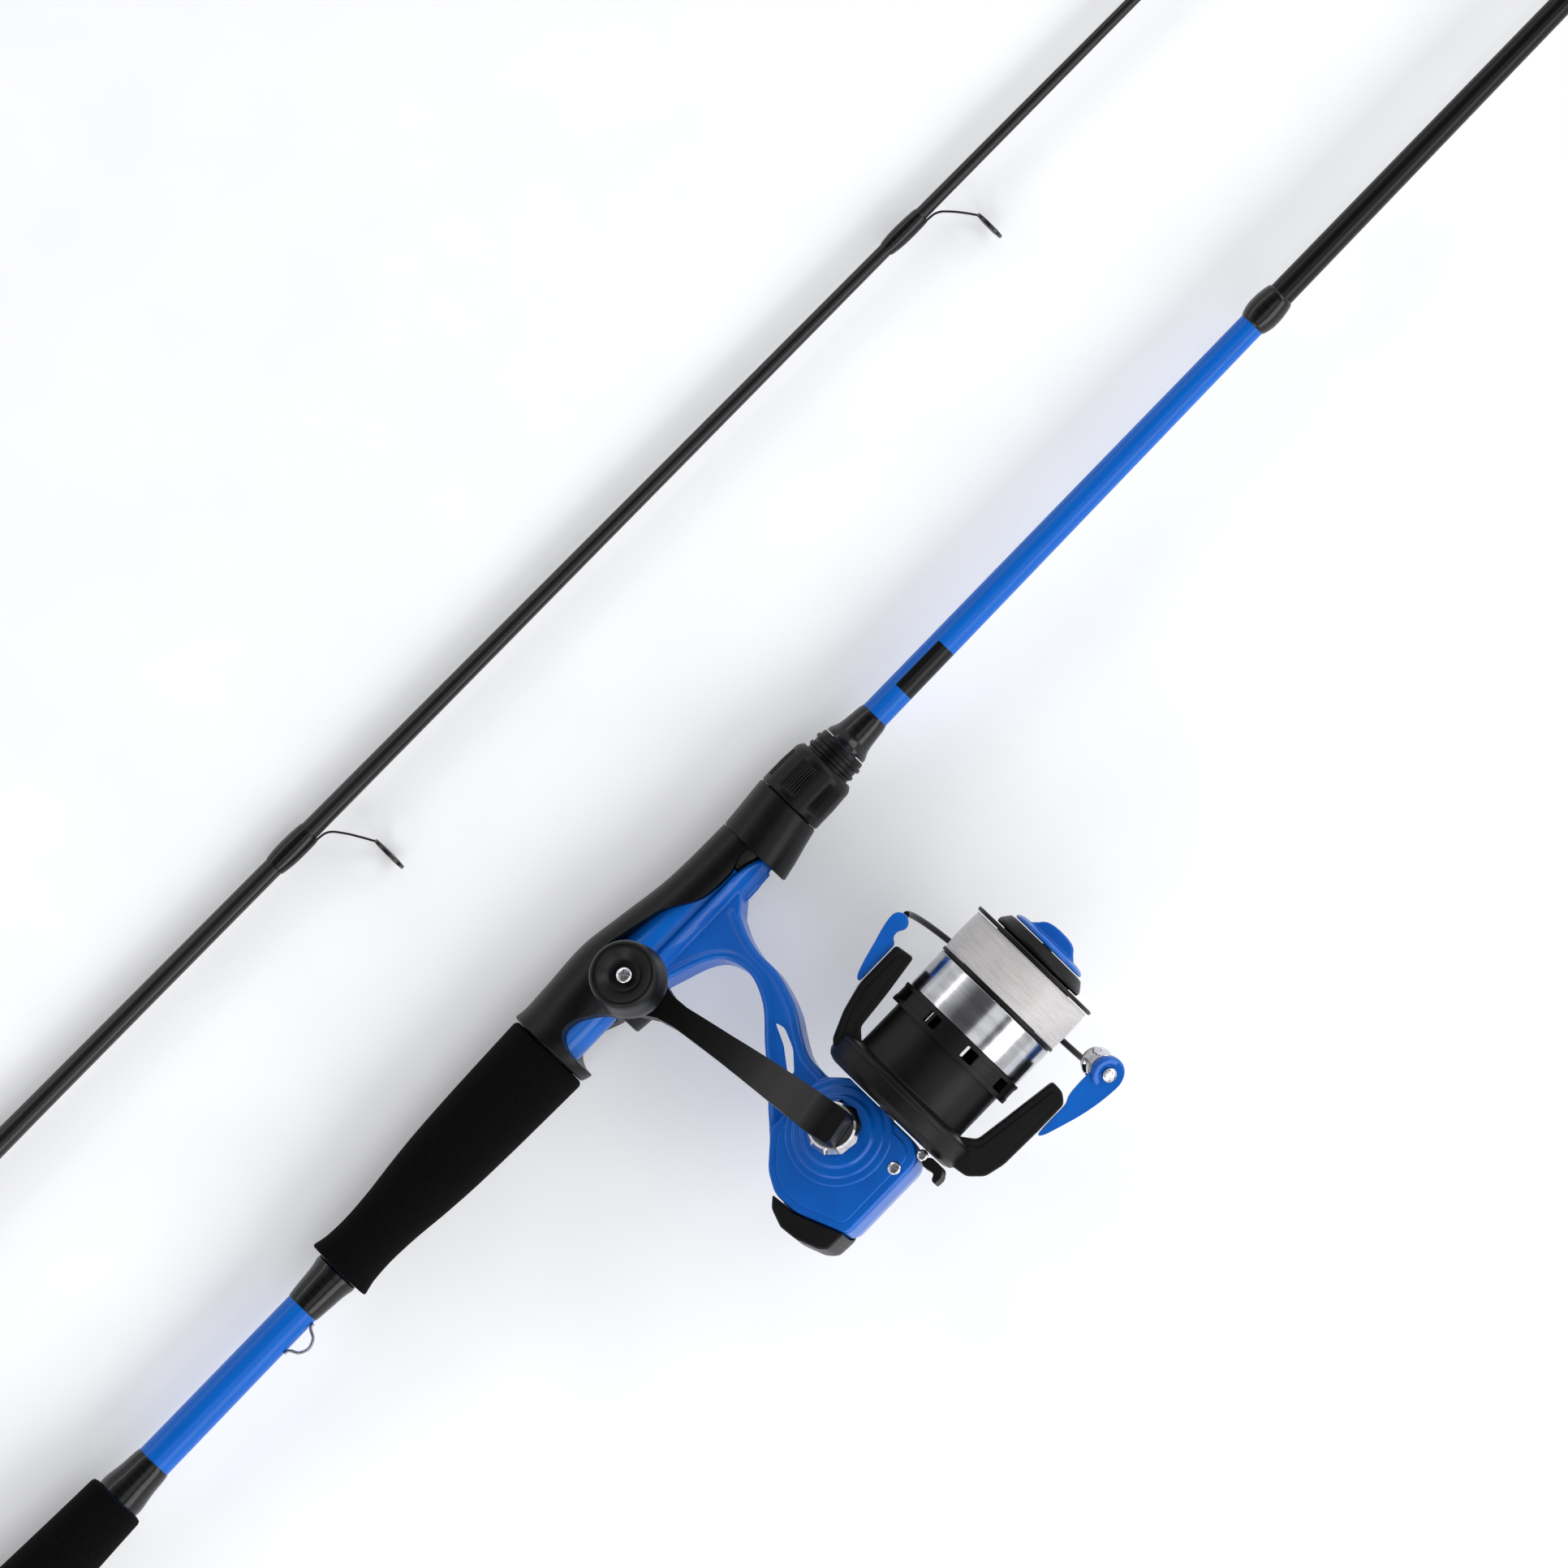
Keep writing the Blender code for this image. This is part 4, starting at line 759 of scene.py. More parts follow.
def build_guide(number):
    """A single-foot guide: a ring on one bent strip, whose foot is bound down under thread."""
    name = f"guide_{number}"
    frame_box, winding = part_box(f"{name}_frame"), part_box(f"{name}_winding")
    front = (TIP.inverted() @ Vector((frame_box[1].x, 0, 0))).x / MM
    at = front - 0.6
    radius = (frame_box[1].z - frame_box[0].z) / 2 / MM
    low = (TIP.inverted() @ Vector((frame_box[0].x, frame_box[0].y, 0))).y / MM
    reach = -low - radius
    surface_at = tip_radius(at - 10.0) + 0.55
    bend = reach - radius - surface_at
    centre = Matrix.Translation((at * MM, -reach * MM, 0))
    ring = wire_ring("ring", radius, 0.65, 0.95, centre)
    path = smooth(
        [
            (at - 21.0, -surface_at + 0.25, 0), (at - 12.0, -surface_at, 0),
            (at - 8.2, -surface_at - bend * 0.08, 0), (at - 5.2, -surface_at - bend * 0.36, 0),
            (at - 2.4, -surface_at - bend * 0.72, 0), (at - 0.2, -reach + radius - 0.45, 0),
        ],
        6,
    )
    frame_mesh = boolean(ring, [strip("leg", path, 1.7, 0.75)], "UNION")
    piece(f"{name}_frame_bent", frame_mesh, "tip_section", GUIDE_BLACK, TIP,
          (f"{name}_frame",), 50)
    outer, bore = radius - 0.98, radius - 1.75
    section = softened([(-0.8, bore + 0.1), (-0.75, outer), (0.75, outer), (0.8, bore + 0.1),
                        (0.5, bore), (-0.5, bore)], 0.25, 3, closed=True)
    lining = placed(lathe("lining", section, 64, loop=True), centre)
    nodes = (f"{name}_ring",) if f"{name}_ring" in frame["nodes"] else ()
    piece(f"{name}_ring_ceramic", lining, "tip_section", CERAMIC, TIP, nodes, 50)
    start = (TIP.inverted() @ winding[0]).x / MM
    end = (TIP.inverted() @ winding[1]).x / MM
    wrapped(f"{name}_winding_thread", feathered(start, end, 0.6, tip_radius), tip_radius,
            "tip_section", TIP, f"{name}_winding", foot=True)


def build_tip_top():
    end = 1030.0
    barrel = smooth([(-14.0, 1.15), (-13.4, 1.4), (-7.0, 1.42), (-0.8, 1.4), (0.0, 1.1)], 3)
    tube_mesh = lathe("barrel", [(end + x, r) for x, r in barrel], 32)
    ring = lathe("ring", softened([(-0.7, 2.5), (-0.7, 3.6), (0.7, 3.6), (0.7, 2.5)], 0.5, 3, True),
                 48, loop=True)
    place = Matrix.Translation(((end - 0.6) * MM, -4.2 * MM, 0)) @ Matrix.Rotation(
        math.radians(-20), 4, "Z")
    leg = placed(tube("leg", [(end - 9, -1.2, 0), (end - 5, -2.3, 0), (end - 1.8, -6.4, 0)], 0.45,
        10))
    top = boolean(tube_mesh, [placed(ring, place), leg], "UNION")
    piece("tip_top_tube", top, "tip_section", GUIDE_BLACK, TIP, ("tip_top",), 50)


# Seat

SEAT = BUTT @ Matrix.Translation((SEAT_AT * MM, 0, 0))
SLEEVE_RADIUS = 8.0


def hollow_rows(outer, inner, steps=96):
    """Circles about centres on Y, each (station, centre, radius), as a shell without end caps."""
    turns = np.linspace(0, 2 * math.pi, steps, endpoint=False)
    return [
        np.stack([np.full(steps, x), y + r * np.cos(turns), r * np.sin(turns)], 1)
        for x, y, r in [*outer, *reversed(inner)]
    ]


def build_seat():
    swell = smooth(
        [
            (-43.6, 0.8, 14.3), (-39.5, 0.2, 14.4), (-30.0, 2.0, 13.0), (-14.0, 3.0, 12.7),
            (1.0, 1.8, 11.8), (20.0, 0.4, 10.4), (43.43, 0.0, 10.1),
        ],
        8,
    )
    swell = [(-44.2, 0.8, 13.0), (-44.1, 0.8, 13.8), *swell]
    shell = grid("shell", hollow_rows(swell, []))
    rear = smooth(
        [(-40.2, -30.0), (-40.5, -12.0), (-40.1, -7.5), (-38.6, -4.4), (-36.0, -2.6), (-33.0, -2.6),
         (-30.3, -3.5), (-25.5, -6.2), (-21.8, -9.2), (-21.4, -12.0), (-21.3, -30.0)],
        5,
    )
    front = smooth(
        [(-10.8, -30.0), (-10.8, -10.0), (-10.7, 4.5), (-8.6, 6.9), (-2.4, 5.8), (5.0, 4.1),
         (11.0, 2.3), (16.0, -0.6), (21.0, -3.4), (26.0, -4.5), (34.0, -4.8), (44.0, -4.6),
         (44.0, -30.0)],
        5,
    )
    windows = [slab("window", outline, -30, 30) for outline in (rear, front)]
    hood = [(-21.3, -2.9, 11.9), (-21.0, -3.0, 12.5), (-16.0, -3.0, 13.0), (-11.3, -3.0, 13.2),
            (-10.9, -3.0, 12.6)]
    hood_mesh = grid("hood", hollow_rows(hood, []))
    pocket = grid("pocket", hollow_rows([(-19.5, -2.6, 10.8), (-10.0, -2.6, 11.3)], []))
    inside = lathe("inside", [(-50.0, 8.3), (36.1, 8.3)], 96)
    through = lathe("through", [(-50.0, 5.8), (60.0, 5.8)], 96)
    shell = boolean(boolean(shell, windows), [hood_mesh], "UNION")
    shell = boolean(shell, [pocket, inside, through])
    soft = rounded(shell, 0.45, 3, 40)
    piece("seat_shell_moulded", soft, "butt_section", NYLON_SMOOTH, SEAT,
          ("reel_seat",), 40)
    ridges = []
    for i in range(12):
        station = 47.6 + i * 3.1
        ridges += [(station, 8.1), (station + 1.0, 8.15), (station + 1.35, 8.75), (station + 2.4,
            8.75),
                   (station + 2.75, 8.1)]
    barrel = [(36.1, 7.6), (36.3, 8.1), *[p for p in ridges if p[0] < 84.6], (85.6, 8.1), (86.2,
        7.7)]
    piece("seat_barrel_threaded", sleeve("barrel", barrel, 5.8), "butt_section",
          NYLON_SMOOTH, SEAT)
    blue = [(-43.9, 7.5), (-43.6, SLEEVE_RADIUS), (35.3, SLEEVE_RADIUS), (35.7, 7.6)]
    piece("seat_sleeve_lacquered", sleeve("blue", blue, 5.8), "butt_section",
          SLEEVE_BLUE, SEAT, ("seat_sleeve",))


def build_hood_and_nut():
    outer = [(43.5, -2.8, 11.9), (43.7, -2.8, 12.5), (44.3, -2.75, 12.75), (50.0, -1.9, 12.35),
             (56.0, -0.8, 11.85), (60.6, -0.05, 11.5), (61.2, 0.0, 11.35), (61.5, 0.0, 10.9)]
    inner = [(43.5, -2.4, 11.45), (57.2, -0.6, 10.0), (57.4, 0.0, 9.05), (61.5, 0.0, 9.0)]
    hood = grid("hood", hollow_rows(outer, inner), loop=True)
    piece("moving_hood_moulded", hood, "hood", NYLON_SMOOTH, SEAT,
        ("moving_hood",))
    start = 61.6
    length, panels, ribs = 17.0, 6, 7

    def grip(station, turns, radius):
        share = (station - start) / length
        fade = np.clip(min((share - 0.14) / 0.05, (0.80 - share) / 0.05), 0, 1)
        panel = (turns * panels / (2 * math.pi)) % 1.0
        inside_panel = np.clip(np.minimum(panel - 0.22, 0.78 - panel) / 0.02, 0, 1)
        rib = 0.5 + 0.5 * np.cos((panel - 0.22) / 0.56 * ribs * 2 * math.pi)
        return radius - fade * inside_panel * (0.2 + 0.4 * rib ** 1.5)

    stations = np.array([0, 0.012, 0.04, 0.13, 0.145, 0.165, 0.19, 0.3, 0.45, 0.6, 0.75, 0.775,
        0.795,
                         0.81, 0.88, 0.93, 0.975, 1.0])
    radii = np.interp(stations, (0, 0.012, 0.04, 0.5, 0.9, 0.975, 1.0),
                      (10.7, 11.15, 11.4, 11.4, 10.9, 10.0, 9.5))
    outer = list(zip(start + stations * length, radii))
    nut = sleeve("nut", outer, 9.0, 672, grip)
    piece("locking_nut_ribbed", nut, "nut", NYLON_SMOOTH, SEAT, ("locking_nut",),
        50)


# Reel body

GEARBOX = [
    (14.2, 14.0), (14.2, -15.6), (10.2, -20.7), (-20.7, -20.7), (-26.9, -4.0), (-27.2, 5.0),
    (-23.5, 11.8), (-14.0, 20.5), (8.5, 20.5),
]
STEM = [
    (30.0, 83.8), (27.0, 77.5), (24.0, 71.2), (22.4, 64.0), (22.3, 56.3), (20.5, 49.0), (17.8,
        42.3),
    (13.5, 35.5), (10.5, 29.3), (9.8, 21.4), (9.0, 12.0), (-20.0, 12.0), (-13.5, 23.1), (-3.0,
        34.5),
    (3.5, 42.5), (10.5, 50.0), (14.0, 55.8), (15.7, 61.0), (15.5, 65.8), (13.3, 71.5), (8.0, 75.5),
    (-2.8, 79.5), (-12.0, 83.8),
]
BODY_LOW, BODY_HIGH, COVER_TOP = -14.5, 8.0, 10.5
BOSS = (0.0, 3.6)


def drawn_in(outline, inset):
    """A closed outline moved inwards."""
    points = [Vector(p) for p in outline]
    area = sum(a.x * b.y - b.x * a.y for a, b in zip(points, points[1:] + points[:1]))
    side = 1 if area > 0 else -1
    out = []
    for i, corner in enumerate(points):
        before = (corner - points[i - 1]).normalized()
        after = (points[(i + 1) % len(points)] - corner).normalized()
        normals = [Vector((-d.y, d.x)) * side for d in (before, after)]
        bisector = (normals[0] + normals[1]).normalized()
        out.append(tuple(corner + bisector * inset / max(bisector.dot(normals[0]), 0.5)))
    return out


def reel_foot():
    """The curved plate that the hoods clamp, thinned and narrowed towards both ends."""
    rows = []
    for x in np.linspace(-32.0, 32.0, 41):
        share = abs(x) / 32.0
        half = 52.0 * math.sqrt(max(1 - max(share - 0.55, 0) ** 2 / 0.235, 0.03))
        outer = 11.3 - 1.3 * share ** 3
        ring = arc((0, 0), 8.3, 180 - half, 180 + half, 17)
        ring += arc((0, 0), outer, 180 + half, 180 - half, 17)
        rows.append([(x + 14.0, REEL_HEIGHT + y, z) for y, z in ring])
    return grid("foot", rows)


DRAFT = ((8.0, 0.0), (-1.0, 0.2), (-7.0, 1.4), (-11.5, 3.6), (-13.8, 6.0), (-14.5, 8.0))


def drafted(name, outline, corner, top=8.0, inset=0.0):
    """A deep moulding whose walls draw in towards its far side."""
    levels = [(top, inset + 0.5), (top - 0.5, inset), *[(z, i + inset) for z, i in DRAFT[1:]]]
    rows = []
    for z, draw in levels:
        ring = softened(drawn_in(outline, draw), corner, 4, closed=True)
        rows.append([(x, y, z) for x, y in ring])
    return grid(name, rows)


def build_body():
    gearbox = drafted("box", GEARBOX, 2.4)
    stem = rounded(slab("stem", smooth(STEM, 3, closed=True), -5.2, 5.2), 2.6, 4, 40)
    front = [(*p, 4.3) for p in smooth(
        [(25.5, 80.0), (22.2, 71.5), (20.7, 64.0), (20.6, 56.5), (18.8, 49.8), (16.2, 43.4),
         (12.0, 36.5), (8.8, 30.0), (8.0, 21.0)], 5)]
    back = [(*p, 4.3) for p in smooth(
        [(-6.0, 82.0), (6.5, 77.6), (13.2, 73.6), (16.9, 68.0), (17.4, 61.0), (15.6, 55.0),
         (11.9, 49.0), (5.0, 41.5), (-1.5, 33.5), (-11.0, 23.0)], 5)]
    ridges = [tube("ridge", path, 1.5, 12) for path in (front, back)]
    spine = tube("spine", [(x, REEL_HEIGHT - 11.2, -0.2) for x in np.linspace(-14, 42, 9)],
                 lambda share: 1.3 * math.sin(math.pi * (0.06 + 0.88 * share)) ** 0.5, 12)
    slit = slab("slit", softened([(10.6, 46.5), (7.4, 39.4), (1.6, 31.6), (3.4, 30.6), (8.6, 36.4),
                                  (11.4, 43.0)], 1.2, 4, True), -15, 15)
    upright = Matrix.Identity(4)
    upright[1][2] = -math.tan(ROLL)
    slit.transform(upright)
    hole = placed(lathe("hole", [(7.0, 4.4), (20.0, 4.4)], 48))
    body = cast("body", [gearbox, stem, reel_foot(), *ridges, spine], 0.45, 5, [slit, hole])
    piece("reel_body_cast", body, "butt_section", BLUE, REEL, ("reel_body",), 50)


def build_covers():
    outline = softened(GEARBOX, 2.4, 6, closed=True)
    plate = slab("plate", drawn_in(outline, 0.1), BODY_HIGH + 0.3, COVER_TOP - 0.5)
    raised = slab("raised", softened(drawn_in(GEARBOX, 2.6), 2.0, 6, closed=True), 9.0, COVER_TOP)
    plate = rounded(plate, 0.7, 3, 40)
    raised = rounded(raised, 0.45, 3, 40)
    cover = boolean(plate, [raised], "UNION")
    rings = softened(
        [(8.6, 17.2), (10.5, 17.2), (11.0, 16.6), (11.0, 14.6), (11.6, 14.1), (11.9, 11.6),
         (12.8, 11.0), (13.1, 5.3)], 0.5, 3)
    boss = lathe("boss", [*rings, (8.6, 5.3)], 128, loop=True)
    boss = placed(boss, ON_Z, Matrix.Translation((BOSS[0] * MM, BOSS[1] * MM, 0)))
    hub = placed(lathe("hub", [(5.0, 5.3), (20.0, 5.3)], 64), ON_Z,
                 Matrix.Translation((0, CRANK_DROP * MM, 0)))
    room = placed(slab("room", [(14.3, -30), (24, -30), (24, 30), (14.3, 30)], 5, 20))
    cover = boolean(boolean(cover, [boss], "UNION"), [hub, room])
    piece("side_cover_moulded", cover, "butt_section", BLUE, REEL, ("side_cover",), 35)
    bearing = softened([(8.8, 2.6), (8.8, 5.0), (12.0, 5.0), (12.0, 2.6)], 0.3, 3, closed=True)
    piece("crank_bearing_turned", placed(lathe("bearing", bearing, 64, loop=True), ON_Z),
          "butt_section", STEEL,
          REEL @ Matrix.Translation((0, CRANK_DROP * MM, 0)), ("crank_bearing",))
    screw = placed(screw_head("cover screw", 2.2, 0.8), ON_Z)
    piece("cover_screw_head", screw, "butt_section", CHROME,
          REEL @ Matrix.Translation((4.0 * MM, -17.2 * MM, (COVER_TOP - 0.2) * MM)),
              ("cover_screw",))
    rear = [
        (-21.2, -20.4), (-27.4, -4.1), (-27.7, 5.2), (-31.0, 2.2), (-33.2, -4.0), (-32.6, -10.0),
        (-30.0, -17.5), (-28.0, -20.0),
    ]
    rows = []
    for z, draw in ((COVER_TOP, 0.5), (COVER_TOP - 0.5, 0.0), *DRAFT[1:]):
        shift = draw if z < 9 else 0.0
        ring = softened(drawn_in(rear, 0.5 if z == COVER_TOP else 0.0), 1.0, 3, closed=True)
        rows.append([(x + shift * float(np.interp(y, (-20, -4, 5), (0.72, 0.94, 1.0))),
                      y + shift * float(np.interp(y, (-20, -4, 5), (0.95, 0.35, 0.0))), z)
                     for x, y in ring])
    shell = grid("rear", rows)
    piece("rear_cover_moulded", shell, "butt_section", NYLON, REEL,
          ("rear_cover",), 25)


def build_lever():
    """The anti-reverse switch: a small hooked lever on a pin behind the rotor."""
    pivot = Vector(JOINTS["anti_reverse_switch"]["pos_m"])
    outline = [(-0.8, 1.0), (1.6, -1.0), (1.6, -6.0), (-0.8, -7.8), (-3.8, -7.6), (-3.6, -6.0),
               (-1.4, -5.0), (-2.4, -0.8)]
    outline = [(x, y - 1.5) for x, y in softened(outline, 1.0, 4, closed=True)]
    lever = rounded(slab("lever", outline, 1.0, 6.0), 0.7, 3, 40)
    place = rolled(Matrix.Translation(pivot), -ROLL, "X")
    piece("anti_reverse_lever_moulded", lever, "anti_reverse", NYLON, place,
          ("anti_reverse_lever",), 35)
    screw = placed(screw_head("lever screw", 1.9, 0.8), ON_Z, Matrix.Translation((0, 0, 6.2 * MM)))
    piece("lever_screw_head", screw, "anti_reverse", CHROME, place)


# Crank


def build_crank():
    reach = CRANK_REACH
    hub = [(-6.0, -4.2), (-4.6, -5.0), (4.6, -5.0), (6.0, -4.2)]
    end = arc((0, reach), 7.3, -10, 190, 21)
    flank = [(6.1, 4.0), (5.5, 14.0), (4.3, 32.0), (3.6, reach - 15.0), (4.2, reach - 9.0)]
    plan = [*hub, *flank, *end, *[(-x, y) for x, y in reversed(flank)]]
    arm = slab("arm", plan, 0, 80)
    tip = reach + 10.0
    profile = [
        (-8.0, 17.2), (5.0, 17.2), (10.0, 22.0), (17.0, 33.0), (27.0, 42.0), (42.0, 46.6), (tip,
            47.6),
        (tip, 53.2), (40.0, 52.6), (24.0, 47.6), (12.0, 37.0), (5.0, 28.0), (1.0, 26.0), (-8.0,
            25.6),
    ]
    side = placed(slab("side", softened(profile, 7.0, 8, closed=True), -15, 15), UPRIGHT)
    arm = boolean(arm, [side], "INTERSECT")
    arm = rounded(arm, 1.4, 2, 42)
    piece("crank_arm_anodised", arm, "crank", ANODISED, CRANK, ("crank_arm",), 40)
    facets = 10

    def flats(station, turns, radius):
        away = (turns % (2 * math.pi / facets)) - math.pi / facets
        flat = 9.0 * math.cos(math.pi / facets) / np.cos(away)
        return np.minimum(radius, flat) if radius > 5 else np.full(len(turns), radius)

    collar = [(13.4, 2.7), (13.4, 8.0), (13.7, 8.7), (14.3, 9.1), (14.8, 9.0), (16.5, 7.7), (16.9,
        7.0),
              (16.9, 2.7)]
    ring = placed(lathe("collar", collar, 120, loop=True, shape=flats), ON_Z)
    piece("crank_collar_chromed", ring, "crank", CHROME, CRANK, ("crank_collar",), 25)
    cap = softened([(-19.0, 5.0), (-18.8, 6.2), (-17.0, 7.4), (-15.0, 7.5)], 0.6, 3)
    piece("shaft_cap_moulded", placed(lathe("cap", cap, 64), ON_Z), "crank", NYLON,
          CRANK, ("shaft_cap",))
    base = 54.0
    handle = CRANK @ Matrix.Translation((0, reach * MM, 0))
    profile = smooth(
        [(0.5, 7.4), (1.2, 8.0), (5.0, 8.9), (10.0, 11.0), (13.5, 11.7), (18.0, 11.3), (21.8, 10.8),
         (23.3, 9.9), (23.4, 8.7), (22.2, 6.9), (20.8, 5.3)],
        6,
    )
    profile = [(0.3, 2.1), (0.3, 7.0), *profile, (20.1, 4.4), (20.0, 2.1)]
    knob = placed(lathe("knob", [(base + x, r) for x, r in profile], 128, loop=True), ON_Z)
    piece("knob_moulded", knob, "knob", NYLON_SMOOTH, handle, ("knob",), 40)
    screw = placed(screw_head("knob screw", 2.8, 1.2), ON_Z)
    piece("knob_screw_head", screw, "crank", CHROME,
          handle @ Matrix.Translation((0, 0, (base + 20.9) * MM)), ("knob_screw",))


# Rotor

DRUM = 21.0


def build_rotor():
    cup = softened(
        [(14.75, 8.0), (14.75, 23.2), (15.6, 25.4), (17.2, 26.6), (21.6, 27.2), (22.0, 27.5),
         (23.2, 27.5), (23.7, 26.9), (24.3, 24.0), (24.6, DRUM + 0.3), (25.2, DRUM), (41.5, DRUM),
         (41.5, 8.0)], 0.5, 3)
    first = [
        (15.0, 15.0), (16.0, 23.6), (19.2, 27.9), (28.0, 31.6), (37.0, 33.8), (53.5, 33.8),
        (54.5, 27.3), (40.0, 25.4), (28.0, 24.3), (24.5, 20.5), (24.5, 15.0),
    ]
    second = [
        (24.5, -15.0), (24.5, -20.5), (28.0, -25.4), (40.0, -27.2), (56.8, -29.6), (56.5, -34.0),
        (54.0, -37.0), (41.8, -37.0), (28.0, -36.6), (21.5, -35.0), (17.4, -30.8), (15.0, -15.0),
    ]
    parts = [lathe("cup", cup, 128)]
    for outline in (first, second):
        arm = slab("arm", softened(outline, 1.3, 4, closed=True), -6.6, 6.6)
        parts.append(rounded(arm, 1.7, 2, 40))
        panel = softened(drawn_in(outline, 2.4), 1.2, 4, closed=True)
        raised = slab("panel", panel, -7.1, 7.1)
        parts.append(rounded(raised, 0.3, 2, 40))
    rotor = boolean(parts[0], parts[1:], "UNION")
    inside = lathe("inside", [(18.75, DRUM - 1.2), (60.0, DRUM - 1.2)], 96)
    bore = lathe("bore", [(0.0, 3.8), (60.0, 3.8)], 48)
    rotor = boolean(rotor, [inside, bore])
    piece("rotor_moulded", rotor, "rotor", NYLON, SPIN, ("rotor",), 30)


# Bail

BAIL = Matrix.Translation(BAIL_POINT)
BAIL_STATION = (BAIL_POINT.x - SPOOL_POINT.x) / MM


def build_bail():
    back = Matrix.Translation((-BAIL_STATION * MM, 0, 0))
    lever = smooth(
        [(38.0, 34.3), (44.0, 34.2), (50.5, 34.2), (53.2, 34.4), (54.6, 36.0), (56.6, 36.3),
         (59.0, 35.2), (61.0, 35.8), (62.2, 37.8), (61.4, 40.2), (59.2, 41.2), (55.0, 40.7),
         (49.3, 39.2), (43.0, 37.6), (38.6, 36.0)], 4, closed=True)
    lever = rounded(slab("lever", lever, -4.2, 4.2), 0.8, 3, 40)
    piece("bail_lever_painted", placed(lever, back), "bail", BLUE, BAIL,
        ("bail_lever",))
    arm = smooth(
        [(42.2, -37.6), (48.0, -37.3), (54.0, -37.3), (57.0, -36.2), (60.5, -35.8), (66.0, -35.7),
         (71.5, -36.0), (74.6, -39.0), (74.4, -42.6), (71.0, -45.0), (64.0, -44.7), (56.0, -43.2),
         (48.0, -40.8), (43.0, -39.0)], 5, closed=True)
    arm = placed(rounded(slab("arm", arm, -4.0, 5.4), 0.6, 3, 40), back)
    place = BAIL.inverted() @ ROLLER
    end = softened([(4.4, 5.0), (4.7, 5.5), (6.6, 5.5), (7.3, 5.0), (7.3, 3.5), (6.9, 3.0)], 0.35,
        3)
    end = placed(lathe("end", end, 72), ON_Z, place)
    room = placed(lathe("room", [(-9.0, 6.9), (3.9, 6.9)], 51), ON_Z, place)
    hole = placed(lathe("hole", [(-9.5, 1.75), (20.0, 1.75)], 31), ON_Z, place)
    arm = boolean(arm, [end], "UNION")
    arm = boolean(boolean(arm, [room]), [hole])
    piece("bail_arm_painted", arm, "bail", BLUE, BAIL, ("bail_arm",), 35)
    screw = placed(screw_head("roller screw", 2.5, 0.9), ON_Z,
                   Matrix.Translation((0, 0, 7.9 * MM)))
    shank = placed(lathe("shank", [(-4.0, 1.38), (7.6, 1.38)], 32), ON_Z)
    piece("roller_screw_head", boolean(screw, [shank], "UNION"), "bail", CHROME, ROLLER,
          ("roller_screw",))
    roller = softened(
        [(-3.6, 1.5), (-3.6, 4.9), (-3.2, 5.2), (-2.2, 5.2), (-0.9, 4.35), (0.9, 4.35), (2.2, 5.2),
         (3.2, 5.2), (3.6, 4.9), (3.6, 1.5)], 0.3, 3)
    piece("line_roller_polished", placed(lathe("roller", roller, 72, loop=True), ON_Z),
        "line_roller",
          CHROME, ROLLER, ("line_roller",))
    build_bail_wire(place)


def build_bail_wire(place):
    """The wire from the lever's tip, under the spool, to the bracket beyond the line roller."""
    depth = -(BAIL.inverted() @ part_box("bail_wire")[0]).z / MM - 1.0
    points = []
    for share in np.linspace(0, 1, 33):
        turn = math.pi * (0.02 + 0.93 * share)
        points.append((62.2 + 4.0 * math.sin(turn) + 5.8 * share ** 3 - BAIL_STATION,
                       1.0 + 37.2 * math.cos(turn), -depth * math.sin(turn) ** 0.85))
    points.append(tuple(place @ Vector((0, 0, -6.5 * MM)) / MM))
    wire_mesh = tube("wire", smooth(points, 3), 1.0, 14)
    cup = softened([(-7.6, 2.6), (-6.2, 3.6), (-4.6, 4.7), (-4.2, 4.7)], 0.8, 3)
    cup = placed(lathe("bracket", cup, 64), ON_Z, place)
    piece("bail_wire_coated", boolean(wire_mesh, [cup], "UNION"), "bail", ANODISED,
          BAIL, ("bail_wire",), 50)


# Spool


